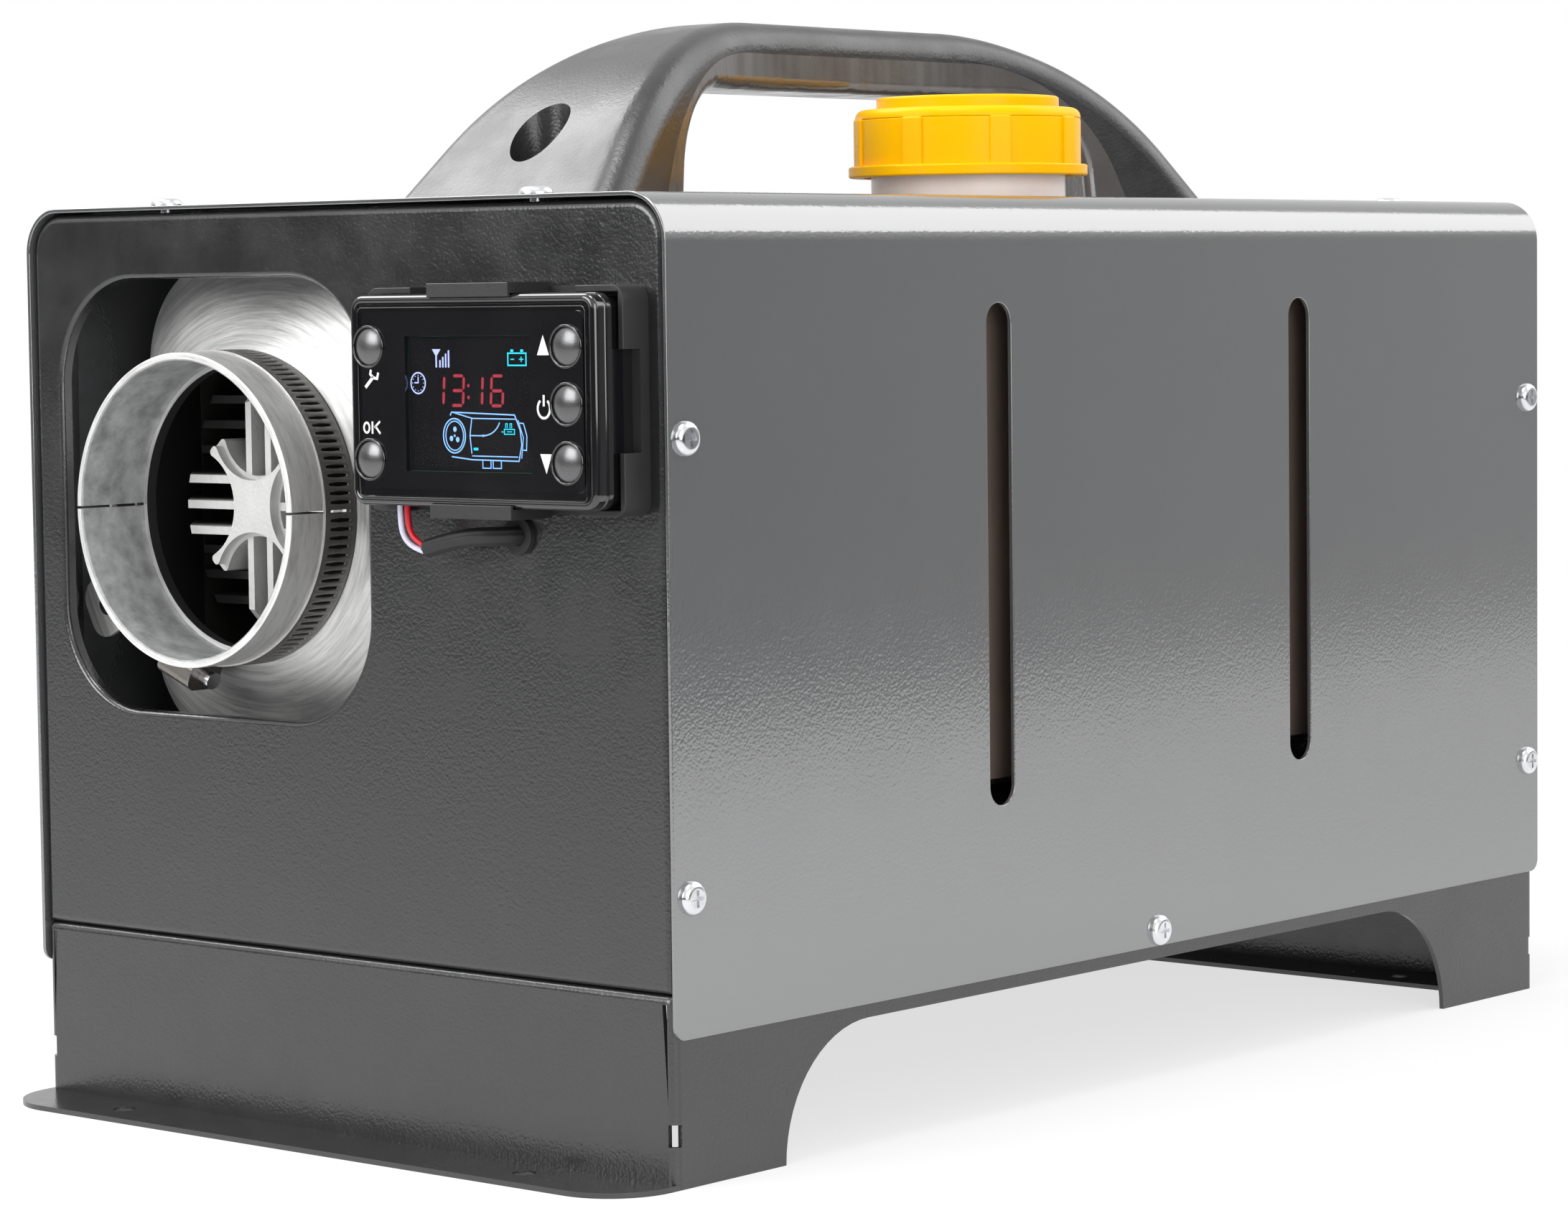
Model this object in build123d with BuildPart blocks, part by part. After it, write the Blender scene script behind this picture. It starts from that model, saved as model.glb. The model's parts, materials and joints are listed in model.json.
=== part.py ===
from build123d import *
import math
import os

os.makedirs("parts", exist_ok=True)

# Portable diesel air heater. Millimetres, +Z up. The warm air outlet and the controller
# face -Y, the fuel tank stands on the +X side. The origin is on the floor, under the
# middle of the whole heater.

# Case: a bent cover over a front panel, a rear panel and a folded base
body_width = 254.0
body_length = 436.0
body_height = 264.0
cover_sheet = 1.2
cover_bend = 13.0
cover_bottom = 40.0
cover_foot_corner = 4.0
panel_sheet = 1.5
panel_inset = 1.0
panel_gap = 0.8
panel_flange = 15.0
edge_bend = 2.5
edge_round = 0.3
fit_gap = 0.3

# Base with two pairs of legs and a bolt-down flange
base_top = 52.0
side_bottom = 36.0
front_leg = 46.0
rear_leg = 57.0
foot_corner = 3.0
flange_reach = 22.0
flange_corner = 20.0
flange_hole_spread = 161.0
flange_hole_radius = 3.25
notch_bottom = 11.5
notch_height = 6.0
notch_depth = 1.4
seam_width = 1.6
seam_length = 30.0

# Level slots in the cover sides
slot_spread = 152.2
slot_width = 11.3
slot_bottom = 89.6
slot_drop = 30.8

# Warm air outlet
duct_drop = 87.0
duct_radius = 45.0
duct_wall = 2.3
duct_reach = 10.3
duct_depth = 15.5
duct_seam = 0.8
opening_width = 127.5
opening_height = 125.7
opening_corner = 31.0
opening_margin = 13.25
opening_rise = 3.2
opening_lip = 4.0
lug_angle = 206.0
lug_reach = 33.0
lug_width = 18.0
lug_sheet = 1.5
lug_hole_radius = 3.2
lug_hole_edge = 8.5
band_start = 2.6
band_width = 12.0
band_sheet = 1.1
band_seat = 0.5
clamp_angle = 248.0
clamp_block = 9.0
clamp_block_length = 14.0
clamp_screw_radius = 2.6
clamp_screw_length = 22.0

# Heater unit behind the outlet
unit_width = 114.0
unit_height = 144.0
unit_corner = 32.0
hood_wall = 1.5
hood_seat = 2.0
hood_flare = 14.5
hood_length = 33.0
shell_length = 300.0
shell_wall = 2.0
inlet_radius = 44.0
core_half = 29.0
core_wall = 5.0
exchanger_start = 17.0
exchanger_length = 181.0
exchanger_nose = 27.5
fin_sheet = 2.4
fin_pitch = 7.5
fin_rows = 9
fin_gap = 3.5
top_fin_pitch = 9.0
top_fin_rows = 6
nose_depth = 28.0
nose_fin_pitch = 8.0
hub_arm = 23.5
hub_waist = 7.5
hub_hollow = 16.0
hub_round = 1.2
hub_plate = 3.0
hub_step = 1.2
burner_radius = 20.0
burner_wall = 1.5
burner_length = 110.0
burner_flange = 14.0
burner_flange_radius = 40.0
blower_length = 30.0
blower_radius = 42.0
blower_wall = 5.0
wheel_radius = 30.0
wheel_length = 9.0
wheel_web = 2.0
wheel_blades = 15
motor_length = 46.0
motor_radius = 21.0
shaft_radius = 3.0
shaft_fit = 0.05
fan_clearance = 5.0
fan_length = 26.0
fan_radius = 41.0
fan_hub_radius = 15.0
fan_blades = 9
blade_sheet = 1.6
board_box_width = 60.0
board_box_length = 42.0
board_box_height = 16.0
plug_radius = 4.0
plug_length = 34.0
plug_seat = 18.0
sensor_width = 12.0
sensor_length = 24.0
sensor_height = 5.0
sensor_place = 120.0

# Stand, gasket and pipes under the heater unit
stand_sheet = 1.5
gasket_sheet = 1.5
stand_width = 49.0
stand_lead = 30.0
stand_length = 140.0
stand_foot = 14.0
stand_bolt_radius = 3.0
stand_bolt_spread_x = 36.0
stand_bolt_spread_y = 112.0
bolt_head_radius = 5.0
bolt_head = 3.0
pipe_low = 24.0
pipe_seat = 15.0
stub_length = 24.0
stub_step = 0.3
boss_wall = 3.0
exhaust_radius = 12.0
exhaust_wall = 1.2
exhaust_setback = 18.0
intake_radius = 12.5
intake_wall = 2.0
pipe_clearance = 1.0
fuel_pipe_offset = 20.0
fuel_pipe_drop = 4.0

# Fuel tank, its shelf, neck and cap
unit_gap = 7.0
tank_gap = 9.0
tank_length = 340.0
tank_drop = 14.0
tank_wall = 2.5
tank_corner = 14.0
shelf_sheet = 1.5
shelf_foot = 12.0
shelf_gap = 3.5
strap_spread = 220.0
strap_width = 22.0
strap_sheet = 0.8
cap_handle_gap = 4.9
neck_radius = 29.75
neck_wall = 2.5
neck_rim = 25.0
neck_clearance = 1.6
cap_radius = 34.5
cap_wall = 2.4
cap_skirt = 7.4
cap_flange_radius = 36.6
cap_flange = 3.4
cap_shoulder = 28.0
cap_disc_radius = 27.9
cap_height = 31.6
cap_ribs = 8
cap_rib_start = 9.4
cap_rib_width = 6.6
cap_rib_rise = 0.9
cap_rib_top = 3.0
seal_sheet = 1.6

# Fuel line
line_gap = 3.0
nipple_radius = 1.9
nipple_bore = 1.0
nipple_length = 6.0
spigot_length = 10.0
spigot_place = 34.0
filter_place = 74.0
filter_length = 38.0
filter_radius = 9.0
filter_gap = 20.0
pump_length = 78.0
pump_radius = 15.0
pump_bore = 6.0
pump_wall = 5.0
plunger_length = 26.0
plunger_travel = 3.0
pump_clamp_length = 20.0
pump_clamp_wall = 3.0
hose_radius = 2.5

# Handle
handle_length = 300.0
handle_foot_width = 96.0
handle_grip_width = 31.0
handle_rise = 55.0
handle_slope = 47.0
handle_bend = 120.0
handle_waist = 91.0
handle_waist_bend = 120.0
parting_depth = 36.0
parting_drop = 9.7
parting_slope = 65.5
parting_bend = 60.0
leg_depth = 50.0
grip_depth = 20.7
leg_slope = 84.0
leg_bend = 28.0
handle_round = 8.5
insert_round = 4.0
well_radius = 9.0
well_y = 20.0
well_floor = 6.0
handle_screw_radius = 2.6
handle_screw_head = 5.0
handle_screw_head_height = 3.2
handle_nut_radius = 5.2
handle_nut = 4.0

# Controller and its holder
control_margin = 54.4
control_drop = 54.9
control_width = 90.6
control_height = 56.6
control_corner = 4.0
control_reach = 17.5
bezel_depth = 6.5
bezel_wall = 1.6
bezel_side = 1.1
bezel_rim = 2.2
bezel_rim_depth = 0.7
back_margin = 0.8
back_wall = 1.5
window_x = -1.1
window_z = -0.8
window_width = 46.6
window_height = 36.2
lens_sheet = 1.0
board_sheet = 1.6
button_radius = 4.9
button_gap = 0.3
button_rise = 1.3
button_ring = 0.5
button_ring_height = 0.4
button_flange = 0.8
button_flange_margin = 0.7
button_travel = 1.0
button_stop = 0.2
switch_radius = 2.5
switch_height = 1.2
left_buttons = -38.1
right_buttons = 35.1
button_high = 14.5
button_middle = -0.6
button_low = -16.0
holder_sheet = 3.5
holder_wall = 1.8
holder_corner_length = 15.0
holder_corner_reach = 10.0
lead_notch_x = -31.5
lead_notch = 8.0
clip_width = 30.0
clip_sheet = 2.8
clip_hook = 1.0

# Leads from the controller to the case
lead_radius = 0.8
sleeve_gap = 0.1
sleeve_radius = 2.6
lead_depth = 9.9
sleeve_depth = 9.3
sleeve_hole_drop = 36.7
lead_offset = 34.8
sleeve_hole_radius = 3.6
grommet_rim = 1.5
run_share = 0.45

# Screws
screw_head_radius = 4.65
screw_head_height = 2.2
screw_radius = 1.9
screw_length = 7.0
recess_width = 1.0
recess_length = 4.6
recess_depth = 1.1
side_screw_inset = 7.0
side_screw_low = 77.6
side_screw_drop = 65.0
side_screw_mid = 44.8
top_screw_x = 73.7
top_screw_inset = 8.0

# Rear panel: power lead gland and air inlet grille
gland_reach = 14.0
gland_x = 66.0
gland_z = 72.0
gland_radius = 9.5
gland_thread = 7.5
gland_dome = 8.5
gland_dome_length = 9.0
gland_nut = 4.0
gland_nut_radius = 11.0
gland_bore = 3.5
grille_radius = 52.0
grille_rings = 5
grille_ring_sheet = 2.0
grille_depth = 2.0
grille_spokes = 6
grille_screw_ring = 48.0

# Places that follow from the sizes above
front = -(body_length + gland_reach - flange_reach + panel_inset) / 2
back = front + body_length
middle = (front + back) / 2
panel_front = front + panel_inset
panel_back = back - panel_inset
base_half = body_width / 2 - cover_sheet - fit_gap
panel_half = body_width / 2 - cover_sheet - panel_gap
panel_top = body_height - cover_sheet - panel_gap
panel_corner = cover_bend - cover_sheet - panel_gap
duct_x = -body_width / 2 + opening_margin + opening_width / 2
duct_z = body_height - duct_drop
opening_z = duct_z + opening_rise
slot_top = body_height - slot_drop
side_screw_high = body_height - side_screw_drop
hood_front = front + duct_depth
hood_knee = hood_front + hood_flare
hood_back = hood_front + hood_length
shell_back = hood_back + shell_length
unit_bottom = duct_z - unit_height / 2
unit_floor = unit_bottom + shell_wall
nose_front = front + exchanger_start
exchanger_back = nose_front + exchanger_length
blower_front = exchanger_back + burner_flange
blower_back = blower_front + blower_length
motor_back = blower_back + motor_length
fan_front = motor_back + fan_clearance
stand_top = unit_bottom - gasket_sheet
exhaust_place = (duct_x, exchanger_back - exhaust_setback)
stand_middle = exhaust_place[1] - stand_lead + stand_length / 2
intake_place = (duct_x, blower_front + blower_length / 2)
fuel_pipe_place = (duct_x + fuel_pipe_offset, exchanger_back + burner_flange / 2)
fuel_pipe_end = stand_top - stand_sheet - fuel_pipe_drop
line_z = base_top + pump_radius + pump_clamp_wall + line_gap
tank_left = duct_x + unit_width / 2 + unit_gap
tank_right = body_width / 2 - tank_gap
tank_x = (tank_left + tank_right) / 2
tank_width = tank_right - tank_left
tank_bottom = line_z + pump_radius + pump_clamp_wall + shelf_gap + shelf_sheet
tank_top = body_height - tank_drop
tank_front = middle - tank_length / 2
tank_back = middle + tank_length / 2
spigot_y = tank_front + spigot_place
filter_front = tank_front + filter_place
pump_front = filter_front + filter_length + filter_gap
pump_back = pump_front + pump_length
cap_place = (handle_grip_width / 2 + cap_handle_gap + cap_flange_radius, middle)
neck_top = body_height + neck_rim
control_x = body_width / 2 - control_margin
control_z = body_height - control_drop
sleeve_hole_x = control_x
sleeve_hole_z = control_z - sleeve_hole_drop
holder_front = panel_front - holder_sheet
bezel_front = front - control_reach
bezel_back = bezel_front + bezel_depth
button_rest = bezel_front + bezel_wall
button_places = {"button_settings": (left_buttons, button_high),
                 "button_ok": (left_buttons, button_low),
                 "button_up": (right_buttons, button_high),
                 "button_power": (right_buttons, button_middle),
                 "button_down": (right_buttons, button_low)}


def facing_front(y):
    """Upright plane at depth y, seen from the front: local x is X, local y is Z."""
    return Plane(origin=(0, y, 0), x_dir=(1, 0, 0), z_dir=(0, -1, 0))


def along_duct(y):
    """The same plane with its origin on the outlet's axis."""
    return Plane(origin=(duct_x, y, duct_z), x_dir=(1, 0, 0), z_dir=(0, -1, 0))


def on_controller(y):
    """The same plane with its origin at the controller's centre."""
    return Plane(origin=(control_x, y, control_z), x_dir=(1, 0, 0), z_dir=(0, -1, 0))


def panel_outline(inset):
    """Face of an end panel, drawn in by inset; its top corners follow the cover's bends."""
    with Locations((0, (base_top + panel_top) / 2)):
        Rectangle(2 * (panel_half - inset), panel_top - base_top - 2 * inset)
    corners = vertices().group_by(Axis.Y)
    fillet(corners[-1], panel_corner - inset)
    fillet(corners[0], edge_bend - inset / 2)


def ring(outer, inner):
    """Flat ring in the active sketch."""
    Circle(outer)
    Circle(inner, mode=Mode.SUBTRACT)


def tube_along(points, radius):
    """Tube whose straight runs are joined by the largest arcs that fit them."""
    bends = []
    for before, corner, after in zip(points, points[1:], points[2:]):
        first = Vector(*corner) - Vector(*before)
        second = Vector(*after) - Vector(*corner)
        half_turn = math.radians(first.get_angle(second) / 2)
        bends.append(run_share * min(first.length, second.length) / math.tan(half_turn))
    with BuildPart() as tube:
        with BuildLine() as path:
            FilletPolyline(*points, radius=bends)
        route = path.wires()[0]
        with BuildSketch(Plane(route @ 0, z_dir=route % 0)):
            Circle(radius)
        sweep(path=route)
    share = tube.part.volume / (math.pi * radius**2 * route.length)
    print(f"tube {route.length:.1f} mm, volume share {share:.4f}, radii",
          [round(bend, 1) for bend in bends])
    return tube


# ---- base -------------------------------------------------------------------------

with BuildPart() as base:
    with BuildSketch(Plane.XY):
        with Locations((0, (panel_front + panel_back) / 2)):
            RectangleRounded(2 * base_half, panel_back - panel_front, edge_bend)
    extrude(amount=base_top)
    fillet(base.faces().sort_by(Axis.Z)[-1].edges(), edge_bend - fit_gap)
    with BuildSketch(Plane.XY):
        with Locations((0, (panel_front + panel_back) / 2)):
            inner_width = 2 * (base_half - panel_sheet)
            inner_length = panel_back - panel_front - 2 * panel_sheet
            RectangleRounded(inner_width, inner_length, edge_bend - panel_sheet)
    extrude(amount=base_top - panel_sheet, mode=Mode.SUBTRACT)
    # the sides are cut away between the legs, each leg's inner edge a quarter circle
    leg_front = front + front_leg
    leg_back = back - rear_leg
    with BuildSketch(Plane.YZ) as between_legs:
        with BuildLine():
            Polyline((leg_back, 0), (leg_back, -1), (leg_front, -1), (leg_front, 0))
            RadiusArc((leg_front, 0), (leg_front + side_bottom, side_bottom), side_bottom)
            Line((leg_front + side_bottom, side_bottom), (leg_back - side_bottom, side_bottom))
            RadiusArc((leg_back - side_bottom, side_bottom), (leg_back, 0), side_bottom)
        make_face()
    extrude(amount=body_width, both=True, mode=Mode.SUBTRACT)
    # bolt-down flange turned out in front, and one turned in at the back
    with BuildSketch(Plane.XY):
        with Locations((0, panel_front + (panel_sheet - flange_reach) / 2)):
            Rectangle(2 * base_half, flange_reach + panel_sheet)
        fillet(vertices().group_by(Axis.Y)[0], flange_corner)
        with Locations((0, panel_back - (panel_sheet + flange_reach) / 2)):
            Rectangle(2 * (base_half - panel_sheet - fit_gap), flange_reach + panel_sheet)
    extrude(amount=panel_sheet)
    hole_rows = (panel_front - flange_reach / 2, panel_back - panel_sheet - flange_reach / 2)
    with Locations(*[(x, y, 0) for x in (-flange_hole_spread / 2, flange_hole_spread / 2)
                     for y in hole_rows]):
        Cylinder(flange_hole_radius, 3 * panel_sheet, mode=Mode.SUBTRACT)
    # holes in the floor for the pipes
    with Locations((*exhaust_place, base_top)):
        Cylinder(exhaust_radius + pipe_clearance, 4 * panel_sheet, mode=Mode.SUBTRACT)
    with Locations((*intake_place, base_top)):
        Cylinder(intake_radius + pipe_clearance, 4 * panel_sheet, mode=Mode.SUBTRACT)
    # screw holes for the cover, relief notches low on the corners, open seams above them
    with BuildSketch(Plane.YZ):
        with Locations((middle, side_screw_mid)):
            Circle(screw_radius)
    extrude(amount=body_width, both=True, mode=Mode.SUBTRACT)
    corners = [(x, y, notch_bottom + notch_height / 2) for x in (-base_half, base_half)
               for y in (panel_front, panel_back)]
    with Locations(*corners):
        Box(2 * notch_depth + edge_bend, 2 * notch_depth + edge_bend, notch_height,
            mode=Mode.SUBTRACT)
    with BuildSketch(facing_front(panel_front)):
        for side in (-1, 1):
            seam_x = side * (base_half - edge_bend)
            with BuildLine():
                Polyline((seam_x, base_top - edge_bend), (seam_x - side * seam_width,
                         base_top - edge_bend), (seam_x, base_top - seam_length), close=True)
            make_face()
    extrude(amount=-panel_sheet, mode=Mode.SUBTRACT)
base.part.label = "base"

# ---- end panels -------------------------------------------------------------------

with BuildPart() as front_panel:
    with BuildSketch(facing_front(panel_front)):
        panel_outline(0)
    extrude(amount=-panel_flange)
    fillet(front_panel.faces().sort_by(Axis.Y)[0].edges(), edge_bend - fit_gap)
    with BuildSketch(facing_front(panel_front + panel_sheet)):
        panel_outline(panel_sheet)
    extrude(amount=-panel_flange, mode=Mode.SUBTRACT)
    # outlet opening with a turned-in lip
    with BuildSketch(facing_front(panel_front)):
        with Locations((duct_x, opening_z)):
            RectangleRounded(opening_width + 2 * panel_sheet, opening_height + 2 * panel_sheet,
                             opening_corner + panel_sheet)
    extrude(amount=-opening_lip)
    with BuildSketch(facing_front(panel_front)):
        with Locations((duct_x, opening_z)):
            RectangleRounded(opening_width, opening_height, opening_corner)
    extrude(amount=-2 * opening_lip, mode=Mode.SUBTRACT)
    mouth = front_panel.faces().sort_by(Axis.Y)[0].inner_wires()[0].edges()
    fillet(mouth, panel_sheet)
    with BuildSketch(facing_front(panel_front)):
        with Locations((sleeve_hole_x, sleeve_hole_z)):
            Circle(sleeve_hole_radius)
    extrude(amount=-2 * panel_sheet, mode=Mode.SUBTRACT)
    with BuildSketch(Plane.YZ):
        with Locations((front + side_screw_inset, side_screw_low),
                       (front + side_screw_inset, side_screw_high)):
            Circle(screw_radius)
    extrude(amount=body_width, both=True, mode=Mode.SUBTRACT)
    with BuildSketch(Plane.XY.offset(duct_z)):
        with Locations((-top_screw_x, front + top_screw_inset),
                       (top_screw_x, front + top_screw_inset)):
            Circle(screw_radius)
    extrude(amount=body_height, mode=Mode.SUBTRACT)
front_panel.part.label = "front_panel"

with BuildPart() as rear_panel:
    with BuildSketch(facing_front(panel_back)):
        panel_outline(0)
    extrude(amount=panel_flange)
    fillet(rear_panel.faces().sort_by(Axis.Y)[-1].edges(), edge_bend - fit_gap)
    with BuildSketch(facing_front(panel_back - panel_sheet)):
        panel_outline(panel_sheet)
    extrude(amount=panel_flange, mode=Mode.SUBTRACT)
    with BuildSketch(facing_front(panel_back)):
        with Locations((duct_x, duct_z)):
            Circle(inlet_radius)
        with Locations((gland_x, gland_z)):
            Circle(gland_thread + fit_gap)
        with Locations((duct_x, duct_z)):
            with PolarLocations(grille_screw_ring, 4, start_angle=45):
                Circle(screw_radius)
    extrude(amount=2 * panel_sheet, mode=Mode.SUBTRACT)
    with BuildSketch(Plane.YZ):
        with Locations((back - side_screw_inset, side_screw_low),
                       (back - side_screw_inset, side_screw_high)):
            Circle(screw_radius)
    extrude(amount=body_width, both=True, mode=Mode.SUBTRACT)
    with BuildSketch(Plane.XY.offset(duct_z)):
        with Locations((-top_screw_x, back - top_screw_inset),
                       (top_screw_x, back - top_screw_inset)):
            Circle(screw_radius)
    extrude(amount=body_height, mode=Mode.SUBTRACT)
rear_panel.part.label = "rear_panel"

# ---- cover ------------------------------------------------------------------------


def cover_section(inset, bottom):
    """Arch of the cover, drawn in by inset."""
    with Locations((0, (bottom + body_height - inset) / 2)):
        Rectangle(body_width - 2 * inset, body_height - inset - bottom)
    fillet(vertices().group_by(Axis.Y)[-1], cover_bend - inset)


side_screws = [(front + side_screw_inset, side_screw_low),
               (front + side_screw_inset, side_screw_high),
               (back - side_screw_inset, side_screw_low),
               (back - side_screw_inset, side_screw_high),
               (middle, side_screw_mid)]
top_screws = [(x, y) for x in (-top_screw_x, top_screw_x)
              for y in (front + top_screw_inset, back - top_screw_inset)]

with BuildPart() as cover:
    with BuildSketch(facing_front(front)):
        cover_section(0, cover_bottom)
    extrude(amount=-body_length)
    with BuildSketch(facing_front(front)):
        cover_section(cover_sheet, cover_bottom - cover_sheet)
    extrude(amount=-body_length, mode=Mode.SUBTRACT)
    foot_edges = cover.edges().filter_by(Axis.X).group_by(Axis.Z)[0]
    fillet(foot_edges.group_by(Axis.Y)[0] + foot_edges.group_by(Axis.Y)[-1], cover_foot_corner)
    with BuildSketch(Plane.YZ):
        slot_length = slot_top - slot_bottom
        with Locations((middle - slot_spread / 2, (slot_bottom + slot_top) / 2),
                       (middle + slot_spread / 2, (slot_bottom + slot_top) / 2)):
            SlotOverall(slot_length, slot_width, rotation=90)
        with Locations(*side_screws):
            Circle(screw_radius)
    extrude(amount=body_width, both=True, mode=Mode.SUBTRACT)
    with BuildSketch(Plane.XY.offset(duct_z)):
        with Locations(cap_place):
            Circle(neck_radius + neck_clearance)
        with Locations(*top_screws):
            Circle(screw_radius)
        with Locations((0, middle - handle_length / 2 + well_y),
                       (0, middle + handle_length / 2 - well_y)):
            Circle(handle_screw_radius)
    extrude(amount=body_height, mode=Mode.SUBTRACT)
    # broken edges: both ends, and the slots seen from outside
    fillet(cover.faces().sort_by(Axis.Y)[0].edges() + cover.faces().sort_by(Axis.Y)[-1].edges(),
           edge_round)
    for wall in (cover.faces().sort_by(Axis.X)[0], cover.faces().sort_by(Axis.X)[-1]):
        rims = wall.edges().filter_by(GeomType.CIRCLE).filter_by(
            lambda edge: abs(edge.radius - slot_width / 2) < edge_round)
        rims += wall.edges().filter_by(Axis.Z).filter_by(
            lambda edge: edge.length < slot_top - slot_bottom)
        fillet(rims, edge_round)
cover.part.label = "cover"

with BuildPart() as screw:
    Cylinder(screw_head_radius, screw_head_height, align=(Align.CENTER, Align.CENTER, Align.MIN))
    fillet(screw.edges().sort_by(Axis.Z)[-1], screw_head_height - fit_gap)
    with Locations((0, 0, screw_head_height)):
        Box(recess_length, recess_width, 2 * recess_depth, mode=Mode.SUBTRACT)
        Box(recess_width, recess_length, 2 * recess_depth, mode=Mode.SUBTRACT)
    Cylinder(screw_radius, screw_length, align=(Align.CENTER, Align.CENTER, Align.MAX))

with BuildPart() as cover_screws:
    screw_seats = []
    for y, z in side_screws:
        for side in (-1, 1):
            screw_seats.append(Plane((side * body_width / 2, y, z), z_dir=(side, 0, 0)))
    for x, y in top_screws:
        screw_seats.append(Plane((x, y, body_height)))
    with Locations(*[seat.location for seat in screw_seats]):
        add(screw.part)
cover_screws.part.label = "cover_screws"

# ---- handle -----------------------------------------------------------------------


def handle_line(depth, drop, slope, bend):
    """Half-open arch seen from the side, depth in from the feet and drop under the top."""
    foot = handle_length / 2 - depth
    rise = handle_rise - drop
    shoulder = foot - rise / math.tan(math.radians(slope))
    points = [(middle - foot, body_height), (middle - shoulder, body_height + rise),
              (middle + shoulder, body_height + rise), (middle + foot, body_height)]
    FilletPolyline(*points, radius=bend)
    return foot


def handle_plan():
    """Lines of the handle seen from above: wide feet that narrow to the grip."""
    foot_end = handle_length / 2 + 1
    waist = handle_length / 2 - handle_waist
    for side in (-1, 1):
        FilletPolyline((side * handle_foot_width / 2, middle - foot_end),
                       (side * handle_grip_width / 2, middle - waist),
                       (side * handle_grip_width / 2, middle + waist),
                       (side * handle_foot_width / 2, middle + foot_end),
                       radius=handle_waist_bend)
        Line((-handle_foot_width / 2, middle + side * foot_end),
             (handle_foot_width / 2, middle + side * foot_end))


well_places = [(0, middle - handle_length / 2 + well_y), (0, middle + handle_length / 2 - well_y)]

with BuildPart() as handle_shell:
    with BuildSketch(Plane.YZ):
        with BuildLine():
            outer_foot = handle_line(0, 0, handle_slope, handle_bend)
            parting_foot = handle_line(parting_depth, parting_drop, parting_slope, parting_bend)
            for side in (-1, 1):
                Line((middle + side * outer_foot, body_height),
                     (middle + side * parting_foot, body_height))
        make_face()
    extrude(amount=handle_foot_width, both=True)
    with BuildSketch(Plane.XY.offset(body_height)):
        with BuildLine():
            handle_plan()
        make_face()
    extrude(amount=2 * handle_rise, mode=Mode.INTERSECT)
    upper = handle_shell.faces().filter_by(lambda face: face.normal_at().Z > 0.3)
    rims = upper.edges().filter_by(lambda edge: edge.length > well_radius)
    rims = rims.filter_by(lambda edge: abs(edge.center().X) > fit_gap)
    fillet(rims.filter_by(lambda edge: edge.center().Z > body_height + fit_gap), handle_round)
    with Locations(*[(x, y, body_height + well_floor) for x, y in well_places]):
        Cylinder(well_radius, handle_rise, align=(Align.CENTER, Align.CENTER, Align.MIN),
                 mode=Mode.SUBTRACT)
        Cylinder(handle_screw_radius, 2 * well_floor, mode=Mode.SUBTRACT)
handle_shell.part.label = "handle_shell"

with BuildPart() as handle_insert:
    with BuildSketch(Plane.YZ):
        with BuildLine():
            parting_foot = handle_line(parting_depth, parting_drop, parting_slope, parting_bend)
            inner_foot = handle_line(leg_depth, grip_depth, leg_slope, leg_bend)
            for side in (-1, 1):
                Line((middle + side * parting_foot, body_height),
                     (middle + side * inner_foot, body_height))
        make_face()
    extrude(amount=handle_foot_width, both=True)
    with BuildSketch(Plane.XY.offset(body_height)):
        with BuildLine():
            handle_plan()
        make_face()
    extrude(amount=2 * handle_rise, mode=Mode.INTERSECT)
    under = handle_insert.faces().filter_by(lambda face: face.normal_at().Z < -0.3)
    rims = under.edges().filter_by(lambda edge: abs(edge.center().X) > fit_gap)
    fillet(rims.filter_by(lambda edge: edge.center().Z > body_height + insert_round),
           insert_round)
handle_insert.part.label = "handle_insert"

with BuildPart() as handle_screws:
    for place in well_places:
        with Locations((*place, body_height + well_floor)):
            Cylinder(handle_screw_head, handle_screw_head_height,
                     align=(Align.CENTER, Align.CENTER, Align.MIN))
            Cylinder(handle_screw_radius, well_floor + cover_sheet + 2 * handle_nut,
                     align=(Align.CENTER, Align.CENTER, Align.MAX))
        with BuildSketch(Plane.XY.offset(body_height - cover_sheet)):
            with Locations(place):
                RegularPolygon(handle_nut_radius, 6)
        extrude(amount=-handle_nut)
handle_screws.part.label = "handle_screws"

# ---- outlet: hood, split collar and worm clamp --------------------------------------


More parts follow.
